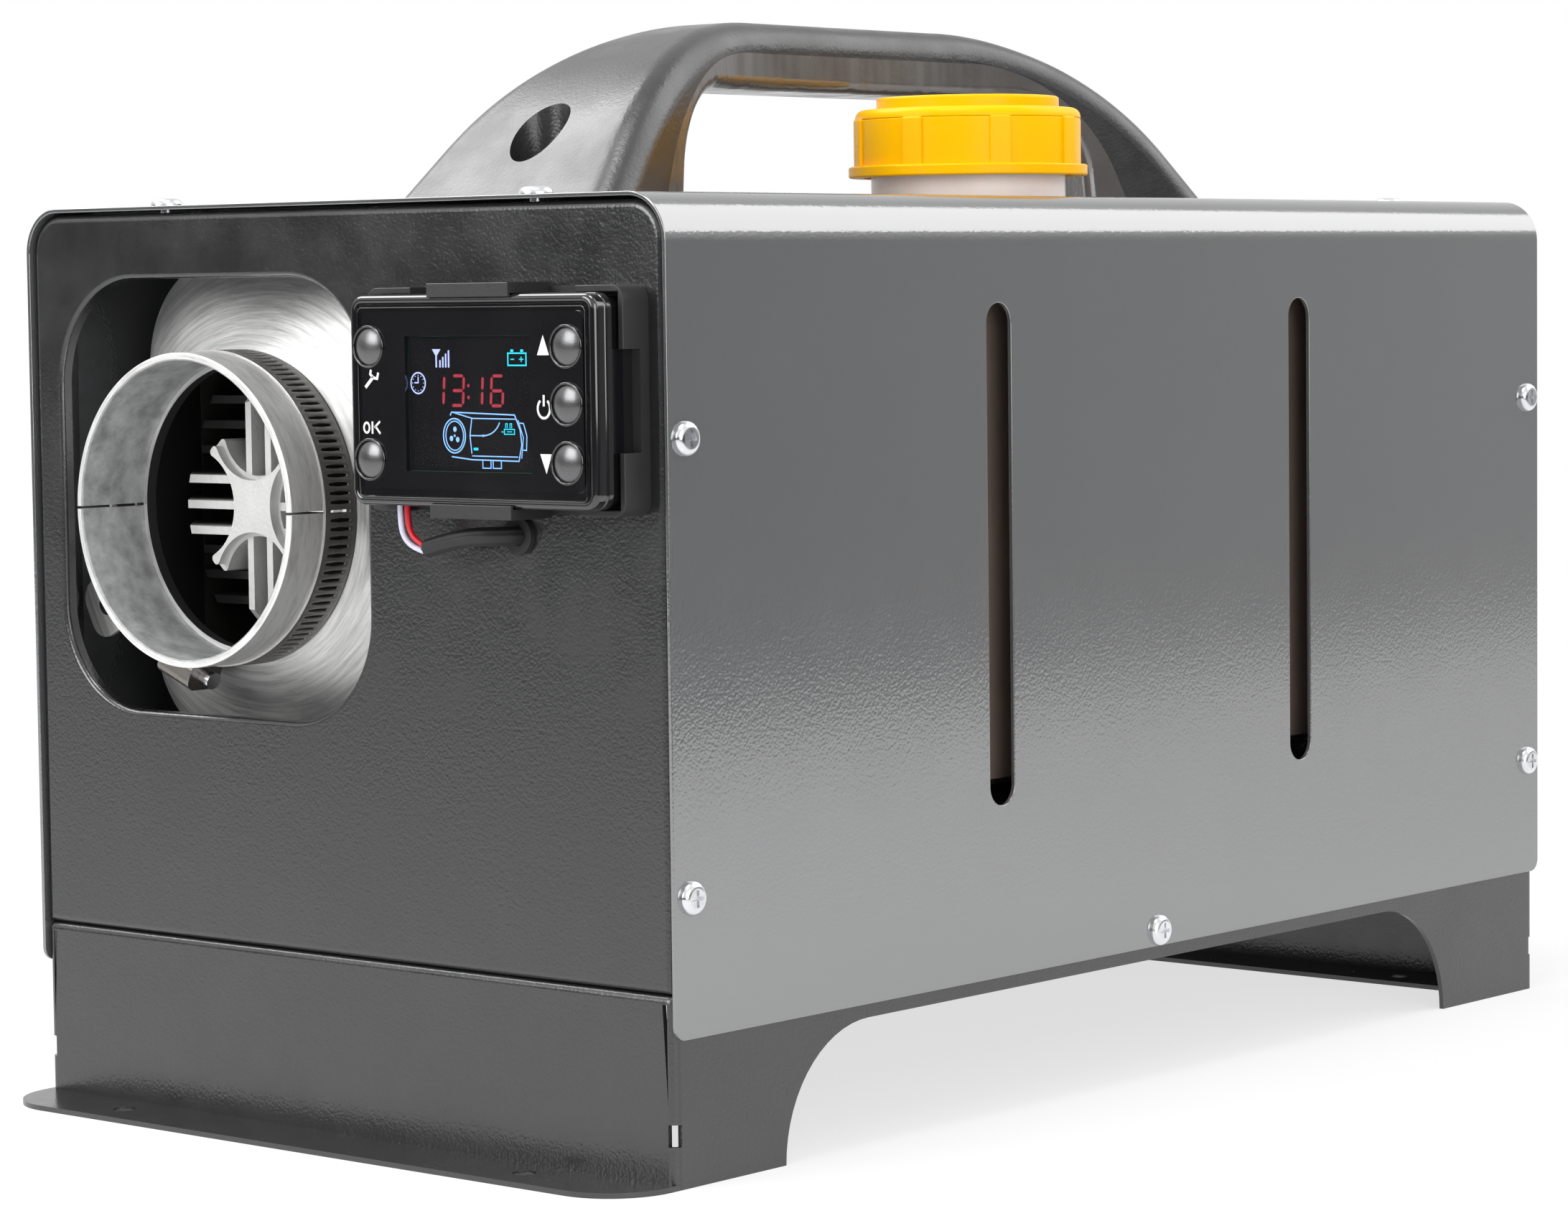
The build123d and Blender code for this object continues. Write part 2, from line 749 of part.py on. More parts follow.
with BuildPart() as outlet_hood:
    # outside, then inside: round at the collar, the unit's own outline behind
    for wall, mode in ((0, Mode.ADD), (hood_wall, Mode.SUBTRACT)):
        with BuildSketch(along_duct(hood_front)):
            RectangleRounded(2 * (duct_radius - wall), 2 * (duct_radius - wall),
                             duct_radius - wall - fit_gap)
        with BuildSketch(along_duct(hood_knee)):
            RectangleRounded(unit_width - 2 * wall, unit_height - 2 * wall, unit_corner - wall)
        loft(mode=mode)
        with BuildSketch(along_duct(hood_knee)):
            RectangleRounded(unit_width - 2 * wall, unit_height - 2 * wall, unit_corner - wall)
        extrude(amount=-(hood_length - hood_flare), mode=mode)
    # short spigot that the collar closes on, and the ring round it
    with BuildSketch(along_duct(hood_front)):
        ring(duct_radius - duct_wall - shaft_fit, duct_radius - duct_wall - hood_wall)
    extrude(amount=hood_seat)
    with BuildSketch(along_duct(hood_front)):
        ring(duct_radius - band_seat, duct_radius - duct_wall - hood_wall)
    extrude(amount=-hood_wall)
    # fixing lug behind the clamp
    with BuildSketch(along_duct(hood_front)):
        with PolarLocations(duct_radius + lug_reach / 2 - hood_wall / 2, 1,
                            start_angle=lug_angle):
            Rectangle(lug_reach + hood_wall, lug_width)
        fillet(vertices().sort_by_distance((0, 0))[-2:], lug_width / 3)
        with PolarLocations(duct_radius + lug_reach - lug_hole_edge, 1, start_angle=lug_angle):
            Circle(lug_hole_radius, mode=Mode.SUBTRACT)
        Circle(duct_radius - hood_wall, mode=Mode.SUBTRACT)
    extrude(amount=-lug_sheet)
outlet_hood.part.label = "outlet_hood"

with BuildPart() as collar:
    with BuildSketch(along_duct(front + band_start)):
        ring(duct_radius, duct_radius - duct_wall)
    extrude(amount=band_start + duct_reach)
    with BuildSketch(along_duct(hood_front)):
        ring(duct_radius - band_seat, duct_radius - duct_wall)
    extrude(amount=duct_depth - band_start)
    fillet(collar.faces().sort_by(Axis.Y)[0].edges(), 2 * edge_round)
    with BuildSketch(along_duct(hood_front)):
        Rectangle(2 * body_width, duct_seam)
    extrude(amount=duct_depth + duct_reach, mode=Mode.SUBTRACT)

with BuildPart() as collar_upper:
    add(collar.part)
    split(bisect_by=Plane.XY.offset(duct_z), keep=Keep.TOP)
collar_upper.part.label = "collar_upper"

with BuildPart() as collar_lower:
    add(collar.part)
    split(bisect_by=Plane.XY.offset(duct_z), keep=Keep.BOTTOM)
collar_lower.part.label = "collar_lower"

clamp_turn = math.radians(clamp_angle)
clamp_out = Vector(math.cos(clamp_turn), 0, math.sin(clamp_turn))
clamp_middle = front + band_start + band_width / 2
clamp_centre = Vector(duct_x, clamp_middle, duct_z) + clamp_out * (
    duct_radius - band_seat + band_sheet + clamp_block / 2 + shaft_fit)
clamp_plane = Plane(origin=clamp_centre, x_dir=(0, 1, 0),
                    z_dir=(math.sin(clamp_turn), 0, -math.cos(clamp_turn)))

with BuildPart() as clamp_band:
    with BuildSketch(along_duct(front + band_start)):
        ring(duct_radius - band_seat + band_sheet, duct_radius - band_seat)
    extrude(amount=-band_width)
clamp_band.part.label = "clamp_band"

with BuildPart() as clamp_housing:
    with BuildSketch(clamp_plane):
        RectangleRounded(band_width, clamp_block, clamp_block / 3)
        Circle(clamp_screw_radius + shaft_fit, mode=Mode.SUBTRACT)
    extrude(amount=clamp_block_length / 2, both=True)
clamp_housing.part.label = "clamp_housing"

with BuildPart() as clamp_screw:
    with BuildSketch(clamp_plane.offset(-clamp_screw_length / 2)):
        Circle(clamp_screw_radius)
    extrude(amount=clamp_screw_length)
    with BuildSketch(clamp_plane.offset(clamp_screw_length / 2)):
        RegularPolygon(clamp_block / 2 - 2 * fit_gap, 6)
    extrude(amount=-(clamp_screw_length - clamp_block_length) / 2)
clamp_screw.part.label = "clamp_screw"

# ---- heater unit --------------------------------------------------------------------


def under_unit(margin):
    """Centres and radii of the holes in all that lies under the heater unit."""
    with Locations(exhaust_place):
        Circle(exhaust_radius + margin)
    with Locations(intake_place):
        Circle(intake_radius + margin)
    with Locations(fuel_pipe_place):
        Circle(nipple_radius + margin)
    with Locations((duct_x, stand_middle)):
        with GridLocations(stand_bolt_spread_x, stand_bolt_spread_y, 2, 2):
            Circle(stand_bolt_radius)


with BuildPart() as unit_shell:
    with BuildSketch(along_duct(hood_back)):
        RectangleRounded(unit_width, unit_height, unit_corner)
    extrude(amount=-shell_length)
    with BuildSketch(along_duct(hood_back)):
        RectangleRounded(unit_width - 2 * shell_wall, unit_height - 2 * shell_wall,
                         unit_corner - shell_wall)
    extrude(amount=-(shell_length - shell_wall), mode=Mode.SUBTRACT)
    with BuildSketch(along_duct(shell_back)):
        Circle(inlet_radius)
    extrude(amount=2 * shell_wall, mode=Mode.SUBTRACT)
    with BuildSketch(Plane.XY.offset(unit_bottom)):
        under_unit(pipe_clearance)
    extrude(amount=shell_wall, mode=Mode.SUBTRACT)

with BuildPart() as heater_shell_upper:
    add(unit_shell.part)
    split(bisect_by=Plane.XY.offset(duct_z), keep=Keep.TOP)
heater_shell_upper.part.label = "heater_shell_upper"

with BuildPart() as heater_shell_lower:
    add(unit_shell.part)
    split(bisect_by=Plane.XY.offset(duct_z), keep=Keep.BOTTOM)
heater_shell_lower.part.label = "heater_shell_lower"

side_reach = unit_width / 2 - shell_wall - fin_gap
top_reach = unit_height / 2 - shell_wall - fin_gap

with BuildPart() as heat_exchanger:
    # nose: a thin plate with four arms, then a wider one and the few fins that start on it
    for start, step in ((0, 0), (hub_plate, hub_step)):
        with BuildSketch(along_duct(nose_front + start)):
            Circle(hub_arm + step)
            with PolarLocations(hub_waist + hub_hollow, 4):
                Circle(hub_hollow - step, mode=Mode.SUBTRACT)
            fillet(vertices(), hub_round)
        extrude(amount=start - nose_depth)
    with BuildSketch(along_duct(nose_front + hub_plate)):
        with GridLocations(nose_fin_pitch, fin_pitch, 2, 1):
            Rectangle(fin_sheet, 2 * top_reach)
        with GridLocations(nose_fin_pitch, fin_pitch, 1, 3):
            Rectangle(2 * side_reach, fin_sheet)
    extrude(amount=hub_plate - nose_depth)
    # core with fins on all four sides
    with BuildSketch(along_duct(nose_front + nose_depth)):
        RectangleRounded(2 * core_half, 2 * core_half, core_half / 2)
        with GridLocations(side_reach, fin_pitch, 1, fin_rows):
            Rectangle(2 * side_reach, fin_sheet)
        with GridLocations(top_fin_pitch, top_reach, top_fin_rows, 1):
            Rectangle(fin_sheet, 2 * top_reach)
    extrude(amount=-(exchanger_length - nose_depth))
    # the front ends of the fins lean back towards the hood
    with BuildSketch(along_duct(nose_front)):
        Circle(exchanger_nose)
    extrude(amount=-exchanger_length, taper=-45, mode=Mode.INTERSECT)
    # foot over the exhaust pipe, and the hot chamber
    with BuildSketch(Plane.XY.offset(unit_floor)):
        with Locations(exhaust_place):
            Circle(exhaust_radius + boss_wall)
    extrude(amount=duct_z - core_half + core_wall / 2 - unit_floor)
    with BuildSketch(along_duct(exchanger_back)):
        chamber = 2 * (core_half - core_wall)
        RectangleRounded(chamber, chamber, core_half / 2 - core_wall)
    extrude(amount=exchanger_length - nose_depth - core_wall, mode=Mode.SUBTRACT)
    with BuildSketch(Plane.XY.offset(unit_floor)):
        with Locations(exhaust_place):
            Circle(exhaust_radius - stub_step)
    extrude(amount=duct_z - core_half + core_wall - unit_floor, mode=Mode.SUBTRACT)
    with Locations(Plane((duct_x, nose_front + sensor_place, duct_z + top_reach))):
        Box(sensor_width + 2 * fit_gap, sensor_length + 2 * fit_gap, 2 * sensor_height,
            mode=Mode.SUBTRACT)
heat_exchanger.part.label = "heat_exchanger"

with BuildPart() as overheat_sensor:
    with Locations(Plane((duct_x, nose_front + sensor_place, duct_z + top_reach))):
        Box(sensor_width, sensor_length, sensor_height,
            align=(Align.CENTER, Align.CENTER, Align.MAX))
    fillet(overheat_sensor.faces().sort_by(Axis.Z)[-1].edges(), sensor_height / 4)
overheat_sensor.part.label = "overheat_sensor"

with BuildPart() as burner_tube:
    with BuildSketch(along_duct(blower_front)):
        Circle(burner_flange_radius)
    extrude(amount=burner_flange)
    with BuildSketch(along_duct(exchanger_back)):
        ring(burner_radius, burner_radius - burner_wall)
    extrude(amount=burner_length)
    with BuildSketch(Plane.XY.offset(duct_z + plug_seat)):
        with Locations((duct_x, exchanger_back + burner_flange / 2)):
            Circle(plug_radius)
    extrude(amount=burner_flange_radius, mode=Mode.SUBTRACT)
    with BuildSketch(Plane.XY.offset(fuel_pipe_end)):
        with Locations(fuel_pipe_place):
            Circle(nipple_radius)
    extrude(amount=duct_z - burner_flange_radius / 2 - fuel_pipe_end)
burner_tube.part.label = "burner_tube"

with BuildPart() as glow_plug:
    with BuildSketch(Plane.XY.offset(duct_z + plug_seat)):
        with Locations((duct_x, exchanger_back + burner_flange / 2)):
            Circle(plug_radius)
    extrude(amount=plug_length)
    with BuildSketch(Plane.XY.offset(duct_z + burner_flange_radius)):
        with Locations((duct_x, exchanger_back + burner_flange / 2)):
            RegularPolygon(plug_radius + 2 * fit_gap, 6)
    extrude(amount=plug_radius)
glow_plug.part.label = "glow_plug"

with BuildPart() as blower_housing:
    with BuildSketch(along_duct(blower_front)):
        Circle(blower_radius)
    extrude(amount=-blower_length)
    with BuildSketch(Plane.XY.offset(unit_floor)):
        with Locations(intake_place):
            Circle(intake_radius + boss_wall - pipe_clearance)
    extrude(amount=duct_z - unit_floor)
    with BuildSketch(Plane.XY.offset(unit_floor)):
        with Locations(intake_place):
            Circle(intake_radius - stub_step)
    extrude(amount=pipe_seat, mode=Mode.SUBTRACT)
    with BuildSketch(Plane.XY.offset(unit_floor)):
        with Locations(intake_place):
            Circle(intake_radius - intake_wall)
    extrude(amount=duct_z - unit_floor, mode=Mode.SUBTRACT)
    with BuildSketch(along_duct(blower_front + blower_wall)):
        Circle(blower_radius - blower_wall)
    extrude(amount=-(blower_length - 2 * blower_wall), mode=Mode.SUBTRACT)
    with BuildSketch(along_duct(blower_back)):
        Circle(shaft_radius + shaft_fit)
    extrude(amount=2 * blower_wall, mode=Mode.SUBTRACT)
blower_housing.part.label = "blower_housing"

with BuildPart() as motor_body:
    with BuildSketch(along_duct(blower_back)):
        ring(motor_radius, shaft_radius + shaft_fit)
    extrude(amount=-motor_length)
motor_body.part.label = "motor_body"

with BuildPart() as control_unit:
    with BuildSketch(along_duct(motor_back)):
        with Locations((0, motor_radius + board_box_height / 2)):
            Rectangle(board_box_width, board_box_height)
        with Locations((0, motor_radius)):
            Rectangle(motor_radius, motor_radius)
        Circle(motor_radius, mode=Mode.SUBTRACT)
    extrude(amount=board_box_length)
    fillet(control_unit.edges().filter_by(Axis.Z), foot_corner)
control_unit.part.label = "control_unit"

wheel_front = blower_front + (blower_length - wheel_length) / 2

with BuildPart() as rotor_shaft:
    with BuildSketch(along_duct(wheel_front)):
        Circle(shaft_radius)
    extrude(amount=-(fan_front + fan_length - wheel_front))
rotor_shaft.part.label = "rotor_shaft"

with BuildPart() as combustion_fan:
    with BuildSketch(along_duct(wheel_front + wheel_length)):
        ring(wheel_radius, shaft_radius)
    extrude(amount=wheel_web)
    with BuildSketch(along_duct(wheel_front + wheel_length)):
        with PolarLocations((wheel_radius + fan_hub_radius) / 2, wheel_blades):
            Rectangle(wheel_radius - fan_hub_radius, blade_sheet)
    extrude(amount=wheel_length)
    with BuildSketch(along_duct(wheel_front + wheel_length)):
        ring(2 * shaft_radius, shaft_radius)
    extrude(amount=wheel_length)
combustion_fan.part.label = "combustion_fan"

with BuildPart() as air_fan:
    with BuildSketch(along_duct(fan_front)):
        ring(fan_hub_radius, shaft_radius)
        with PolarLocations((fan_radius + fan_hub_radius - blade_sheet) / 2, fan_blades):
            Rectangle(fan_radius - fan_hub_radius + blade_sheet, blade_sheet)
    extrude(amount=-fan_length)
air_fan.part.label = "air_fan"

# ---- stand and pipes ----------------------------------------------------------------

with BuildPart() as heater_gasket:
    with BuildSketch(Plane.XY.offset(stand_top)):
        with Locations((duct_x, stand_middle)):
            Rectangle(stand_width, stand_length)
    extrude(amount=gasket_sheet)
    with BuildSketch(Plane.XY.offset(stand_top)):
        under_unit(pipe_clearance)
    extrude(amount=gasket_sheet, mode=Mode.SUBTRACT)
heater_gasket.part.label = "heater_gasket"

with BuildPart() as heater_bracket:
    with BuildSketch(Plane.XY.offset(base_top)):
        with Locations((duct_x, stand_middle)):
            Rectangle(stand_width, stand_length + 2 * stand_foot)
    extrude(amount=stand_top - base_top)
    with BuildSketch(Plane.XY.offset(base_top)):
        with Locations((duct_x, stand_middle)):
            Rectangle(2 * stand_width, stand_length - 2 * stand_sheet)
    extrude(amount=stand_top - base_top - stand_sheet, mode=Mode.SUBTRACT)
    with BuildSketch(Plane.XY.offset(base_top + stand_sheet)):
        with Locations((duct_x, stand_middle - (stand_length + stand_foot) / 2),
                       (duct_x, stand_middle + (stand_length + stand_foot) / 2)):
            Rectangle(2 * stand_width, stand_foot)
    extrude(amount=stand_top, mode=Mode.SUBTRACT)
    with BuildSketch(Plane.XY.offset(stand_top)):
        under_unit(pipe_clearance)
    extrude(amount=-stand_sheet, mode=Mode.SUBTRACT)
heater_bracket.part.label = "heater_bracket"

with BuildPart() as heater_nuts:
    with BuildSketch(Plane.XY.offset(unit_floor)):
        with Locations((duct_x, stand_middle)):
            with GridLocations(stand_bolt_spread_x, stand_bolt_spread_y, 2, 2):
                Circle(bolt_head_radius)
    extrude(amount=bolt_head)
    with BuildSketch(Plane.XY.offset(unit_floor)):
        with Locations((duct_x, stand_middle)):
            with GridLocations(stand_bolt_spread_x, stand_bolt_spread_y, 2, 2):
                Circle(stand_bolt_radius)
    extrude(amount=-(unit_floor - stand_top + stand_sheet + 2 * bolt_head))
    with BuildSketch(Plane.XY.offset(stand_top - stand_sheet)):
        with Locations((duct_x, stand_middle)):
            with GridLocations(stand_bolt_spread_x, stand_bolt_spread_y, 2, 2):
                RegularPolygon(bolt_head_radius, 6)
    extrude(amount=-bolt_head)
heater_nuts.part.label = "heater_nuts"

with BuildPart() as exhaust_pipe:
    with BuildSketch(Plane.XY.offset(pipe_low)):
        with Locations(exhaust_place):
            ring(exhaust_radius, exhaust_radius - exhaust_wall)
    extrude(amount=stub_length)
    with BuildSketch(Plane.XY.offset(pipe_low)):
        with Locations(exhaust_place):
            ring(exhaust_radius - stub_step, exhaust_radius - exhaust_wall)
    extrude(amount=unit_floor + pipe_seat - pipe_low)
exhaust_pipe.part.label = "exhaust_pipe"

with BuildPart() as intake_pipe:
    with BuildSketch(Plane.XY.offset(pipe_low)):
        with Locations(intake_place):
            ring(intake_radius, intake_radius - intake_wall)
    extrude(amount=stub_length)
    with BuildSketch(Plane.XY.offset(pipe_low)):
        with Locations(intake_place):
            ring(intake_radius - stub_step, intake_radius - intake_wall)
    extrude(amount=unit_floor + pipe_seat - pipe_low)
intake_pipe.part.label = "intake_pipe"

# ---- fuel tank, cap and fuel line ---------------------------------------------------

with BuildPart() as tank_cavity:
    with BuildSketch(Plane.XY.offset(tank_bottom + tank_wall)):
        with Locations((tank_x, middle)):
            RectangleRounded(tank_width - 2 * tank_wall, tank_length - 2 * tank_wall,
                             tank_corner - tank_wall)
    extrude(amount=tank_top - tank_bottom - 2 * tank_wall)
    fillet(tank_cavity.faces().sort_by(Axis.Z)[-1].edges(), tank_corner - 2 * tank_wall)

with BuildPart() as fuel_tank:
    with BuildSketch(Plane.XY.offset(tank_bottom)):
        with Locations((tank_x, middle)):
            RectangleRounded(tank_width, tank_length, tank_corner)
    extrude(amount=tank_top - tank_bottom)
    fillet(fuel_tank.faces().sort_by(Axis.Z)[-1].edges(), tank_corner - tank_wall)
    with BuildSketch(Plane.XY.offset(tank_top - tank_corner)):
        with Locations(cap_place):
            Circle(neck_radius)
    extrude(amount=neck_top - tank_top + tank_corner)
    add(tank_cavity.part, mode=Mode.SUBTRACT)
    with BuildSketch(Plane.XY.offset(tank_top - tank_corner)):
        with Locations(cap_place):
            Circle(neck_radius - neck_wall)
    extrude(amount=neck_top - tank_top + tank_corner, mode=Mode.SUBTRACT)
    with BuildSketch(Plane.XY.offset(tank_bottom)):
        with Locations((tank_x, spigot_y)):
            Circle(nipple_radius)
    extrude(amount=-spigot_length)
    with Locations((tank_x, spigot_y, tank_bottom)):
        Cylinder(nipple_bore, 4 * spigot_length, mode=Mode.SUBTRACT)
fuel_tank.part.label = "fuel_tank"

with BuildPart() as tank_shelf:
    shelf_end = tank_length / 2 + shelf_foot
    with BuildSketch(Plane.XY.offset(base_top)):
        with Locations((tank_x, middle)):
            Rectangle(tank_width, 2 * shelf_end)
    extrude(amount=tank_bottom - base_top)
    with BuildSketch(Plane.XY.offset(base_top)):
        with Locations((tank_x, middle)):
            Rectangle(2 * tank_width, tank_length - 2 * shelf_sheet)
    extrude(amount=tank_bottom - base_top - shelf_sheet, mode=Mode.SUBTRACT)
    with BuildSketch(Plane.XY.offset(base_top + shelf_sheet)):
        with Locations((tank_x, middle - tank_length / 2 - shelf_foot / 2),
                       (tank_x, middle + tank_length / 2 + shelf_foot / 2)):
            Rectangle(2 * tank_width, shelf_foot)
    extrude(amount=tank_bottom, mode=Mode.SUBTRACT)
    with Locations((tank_x, spigot_y, tank_bottom)):
        Cylinder(hose_radius + pipe_clearance, 4 * shelf_sheet, mode=Mode.SUBTRACT)
tank_shelf.part.label = "tank_shelf"

with BuildPart() as tank_strap:
    strap_z = (tank_top + tank_bottom - shelf_sheet) / 2
    strap_height = tank_top - tank_bottom + shelf_sheet
    for y in (middle - strap_spread / 2, middle + strap_spread / 2):
        with BuildSketch(facing_front(y - strap_width / 2)):
            with Locations((tank_x, strap_z)):
                Rectangle(tank_width + 2 * strap_sheet, strap_height + 2 * strap_sheet)
            fillet(vertices().group_by(Axis.Y)[-1], tank_corner - tank_wall + strap_sheet)
        extrude(amount=-strap_width)
        with BuildSketch(facing_front(y - strap_width / 2)):
            with Locations((tank_x, strap_z)):
                Rectangle(tank_width, strap_height)
            fillet(vertices().group_by(Axis.Y)[-1], tank_corner - tank_wall)
        extrude(amount=-strap_width, mode=Mode.SUBTRACT)
tank_strap.part.label = "tank_strap"

with BuildPart() as fuel_cap:
    with BuildSketch(Plane.XY.offset(body_height + cap_skirt)):
        with Locations(cap_place):
            Circle(cap_radius)
            with PolarLocations(cap_radius, cap_ribs, start_angle=cap_rib_start):
                Rectangle(2 * cap_rib_rise, cap_rib_width)
            outer = vertices().sort_by_distance((cap_place[0], middle))[-2 * cap_ribs:]
            fillet(outer, 2 * edge_round)
    extrude(amount=cap_shoulder - cap_rib_top - cap_skirt)
    fillet(fuel_cap.faces().sort_by(Axis.Z)[-1].edges(), 2 * edge_round)
    with BuildSketch(Plane.XY.offset(body_height + cap_shoulder - cap_rib_top)):
        with Locations(cap_place):
            Circle(cap_radius)
    extrude(amount=cap_rib_top)
    fillet(fuel_cap.faces().sort_by(Axis.Z)[-1].edges(), cap_rib_top - fit_gap)
    with BuildSketch(Plane.XY.offset(body_height + cap_shoulder)):
        with Locations(cap_place):
            Circle(cap_disc_radius)
    extrude(amount=cap_height - cap_shoulder)
    fillet(fuel_cap.faces().sort_by(Axis.Z)[-1].edges(), cap_rib_rise)
    with BuildSketch(Plane.XY.offset(body_height + cap_skirt)):
        with Locations(cap_place):
            Circle(cap_flange_radius)
    extrude(amount=cap_flange)
    fillet(fuel_cap.edges().filter_by(GeomType.CIRCLE).filter_by(
        lambda edge: abs(edge.radius - cap_flange_radius) < edge_round), 2 * edge_round)
    with BuildSketch(Plane.XY.offset(body_height + cap_skirt)):
        with Locations(cap_place):
            Circle(cap_radius - cap_wall)
    extrude(amount=neck_rim + seal_sheet - cap_skirt, mode=Mode.SUBTRACT)
fuel_cap.part.label = "fuel_cap"

with BuildPart() as cap_seal:
    with BuildSketch(Plane.XY.offset(neck_top)):
        with Locations(cap_place):
            ring(neck_radius, neck_radius - neck_wall)
    extrude(amount=seal_sheet)
cap_seal.part.label = "cap_seal"


def on_line(y):
    """Upright plane at depth y with its origin on the fuel line's axis."""
    return Plane(origin=(tank_x, y, line_z), x_dir=(1, 0, 0), z_dir=(0, -1, 0))


with BuildPart() as fuel_filter:
    with BuildSketch(on_line(filter_front)):
        Circle(filter_radius)
    extrude(amount=-filter_length)
    fillet(fuel_filter.edges(), filter_radius / 2)
    with BuildSketch(on_line(filter_front - nipple_length)):
        Circle(nipple_radius)
    extrude(amount=-(filter_length + 2 * nipple_length))
fuel_filter.part.label = "fuel_filter"

with BuildPart() as pump_body:
    with BuildSketch(on_line(pump_front)):
        Circle(pump_radius)
    extrude(amount=-pump_length)
    chamfer(pump_body.edges(), pump_wall / 2)
    with BuildSketch(on_line(pump_front - nipple_length)):
        Circle(nipple_radius)
    extrude(amount=-nipple_length)
    with BuildSketch(on_line(pump_back)):
        Circle(nipple_radius)
    extrude(amount=-nipple_length)
    with BuildSketch(on_line(pump_front + pump_wall)):
        Circle(pump_bore + shaft_fit)
    extrude(amount=-(plunger_length + 4 * plunger_travel), mode=Mode.SUBTRACT)
pump_body.part.label = "pump_body"

with BuildPart() as pump_plunger:
    with BuildSketch(on_line(pump_front + pump_wall + plunger_travel)):
        ring(pump_bore, nipple_radius)
    extrude(amount=-plunger_length)
pump_plunger.part.label = "pump_plunger"

with BuildPart() as pump_clamp:
    pump_middle = (pump_front + pump_back) / 2
    with BuildSketch(on_line(pump_middle - pump_clamp_length / 2)):
        Circle(pump_radius + pump_clamp_wall)
        with Locations((0, (base_top - line_z) / 2)):
            Rectangle(2 * pump_clamp_wall, line_z - base_top)
        with Locations((0, base_top + pump_clamp_wall / 4 - line_z)):
            Rectangle(2 * pump_radius, pump_clamp_wall / 2)
        Circle(pump_radius, mode=Mode.SUBTRACT)
    extrude(amount=-pump_clamp_length)
pump_clamp.part.label = "pump_clamp"

hose_start = tank_bottom - spigot_length
hose_end = filter_front - nipple_length
tank_hose = tube_along([(tank_x, spigot_y, hose_start), (tank_x, spigot_y, hose_start - 6),
                        (tank_x, spigot_y + 9, line_z), (tank_x, hose_end, line_z)], hose_radius)

with BuildPart() as fuel_hose_tank:
    add(tank_hose.part)
    with BuildSketch(on_line(filter_front + filter_length + nipple_length)):
        Circle(hose_radius)
    extrude(amount=-(filter_gap - 2 * nipple_length))
fuel_hose_tank.part.label = "fuel_hose_tank"

pump_end = pump_back + nipple_length
pipe_x, pipe_y = fuel_pipe_place
fuel_hose_pump = tube_along([(tank_x, pump_end, line_z), (tank_x, pump_end + 20, line_z),
                             (tank_x - 14, pump_end + 38, line_z - 3),
                             (tank_x - 40, pump_end + 41, line_z - 5),
                             (pipe_x + 34, pump_end + 24, line_z - 7),
                             (pipe_x + 12, pump_end - 4, line_z - 9),
                             (pipe_x + 1, pipe_y + 36, line_z - 9),
                             (pipe_x, pipe_y + 13, fuel_pipe_end - 30),
                             (pipe_x, pipe_y, fuel_pipe_end - 15),
                             (pipe_x, pipe_y, fuel_pipe_end)], hose_radius)
fuel_hose_pump.part.label = "fuel_hose_pump"

# ---- controller ---------------------------------------------------------------------

with BuildPart() as controller_bezel:
    with BuildSketch(on_controller(bezel_front)):
        RectangleRounded(control_width, control_height, control_corner)
    extrude(amount=-bezel_depth)
    fillet(controller_bezel.faces().sort_by(Axis.Y)[0].edges(), bezel_rim / 2)
    with BuildSketch(on_controller(bezel_front)):
        RectangleRounded(control_width - 2 * bezel_rim, control_height - 2 * bezel_rim,
                         control_corner - bezel_rim / 2)
    extrude(amount=-bezel_rim_depth, mode=Mode.SUBTRACT)
    with BuildSketch(on_controller(bezel_front)):
        RectangleRounded(control_width - 4 * bezel_rim, control_height - 4 * bezel_rim,
                         control_corner - bezel_rim / 2)
    extrude(amount=-bezel_rim_depth)
    with BuildSketch(on_controller(bezel_back)):
        RectangleRounded(control_width - 2 * bezel_side, control_height - 2 * bezel_side,
                         control_corner - bezel_side)
    extrude(amount=bezel_depth - bezel_wall, mode=Mode.SUBTRACT)
    with BuildSketch(on_controller(bezel_front)):
        for place in button_places.values():
            with Locations(place):
                Circle(button_radius + button_gap)
        with Locations((window_x, window_z)):
            Rectangle(window_width, window_height)
    extrude(amount=-bezel_depth, mode=Mode.SUBTRACT)
    with BuildSketch(on_controller(bezel_front)):
        for place in button_places.values():
            with Locations(place):
                ring(button_radius + button_gap + button_ring, button_radius + button_gap)
    extrude(amount=button_ring_height)
    # pocket behind the window for the lens
    with BuildSketch(on_controller(button_rest)):
        with Locations((window_x, window_z)):
            Rectangle(window_width + 2 * bezel_wall, window_height + 2 * bezel_wall)
    extrude(amount=bezel_wall - lens_sheet + bezel_rim_depth / 2 - button_flange,
            mode=Mode.SUBTRACT)
controller_bezel.part.label = "controller_bezel"

with BuildPart() as controller_lens:
    with BuildSketch(on_controller(button_rest)):
        with Locations((window_x, window_z)):
            Rectangle(window_width, window_height)
    extrude(amount=lens_sheet)
controller_lens.part.label = "controller_lens"

board_front = button_rest + button_flange + button_travel + button_stop + switch_height

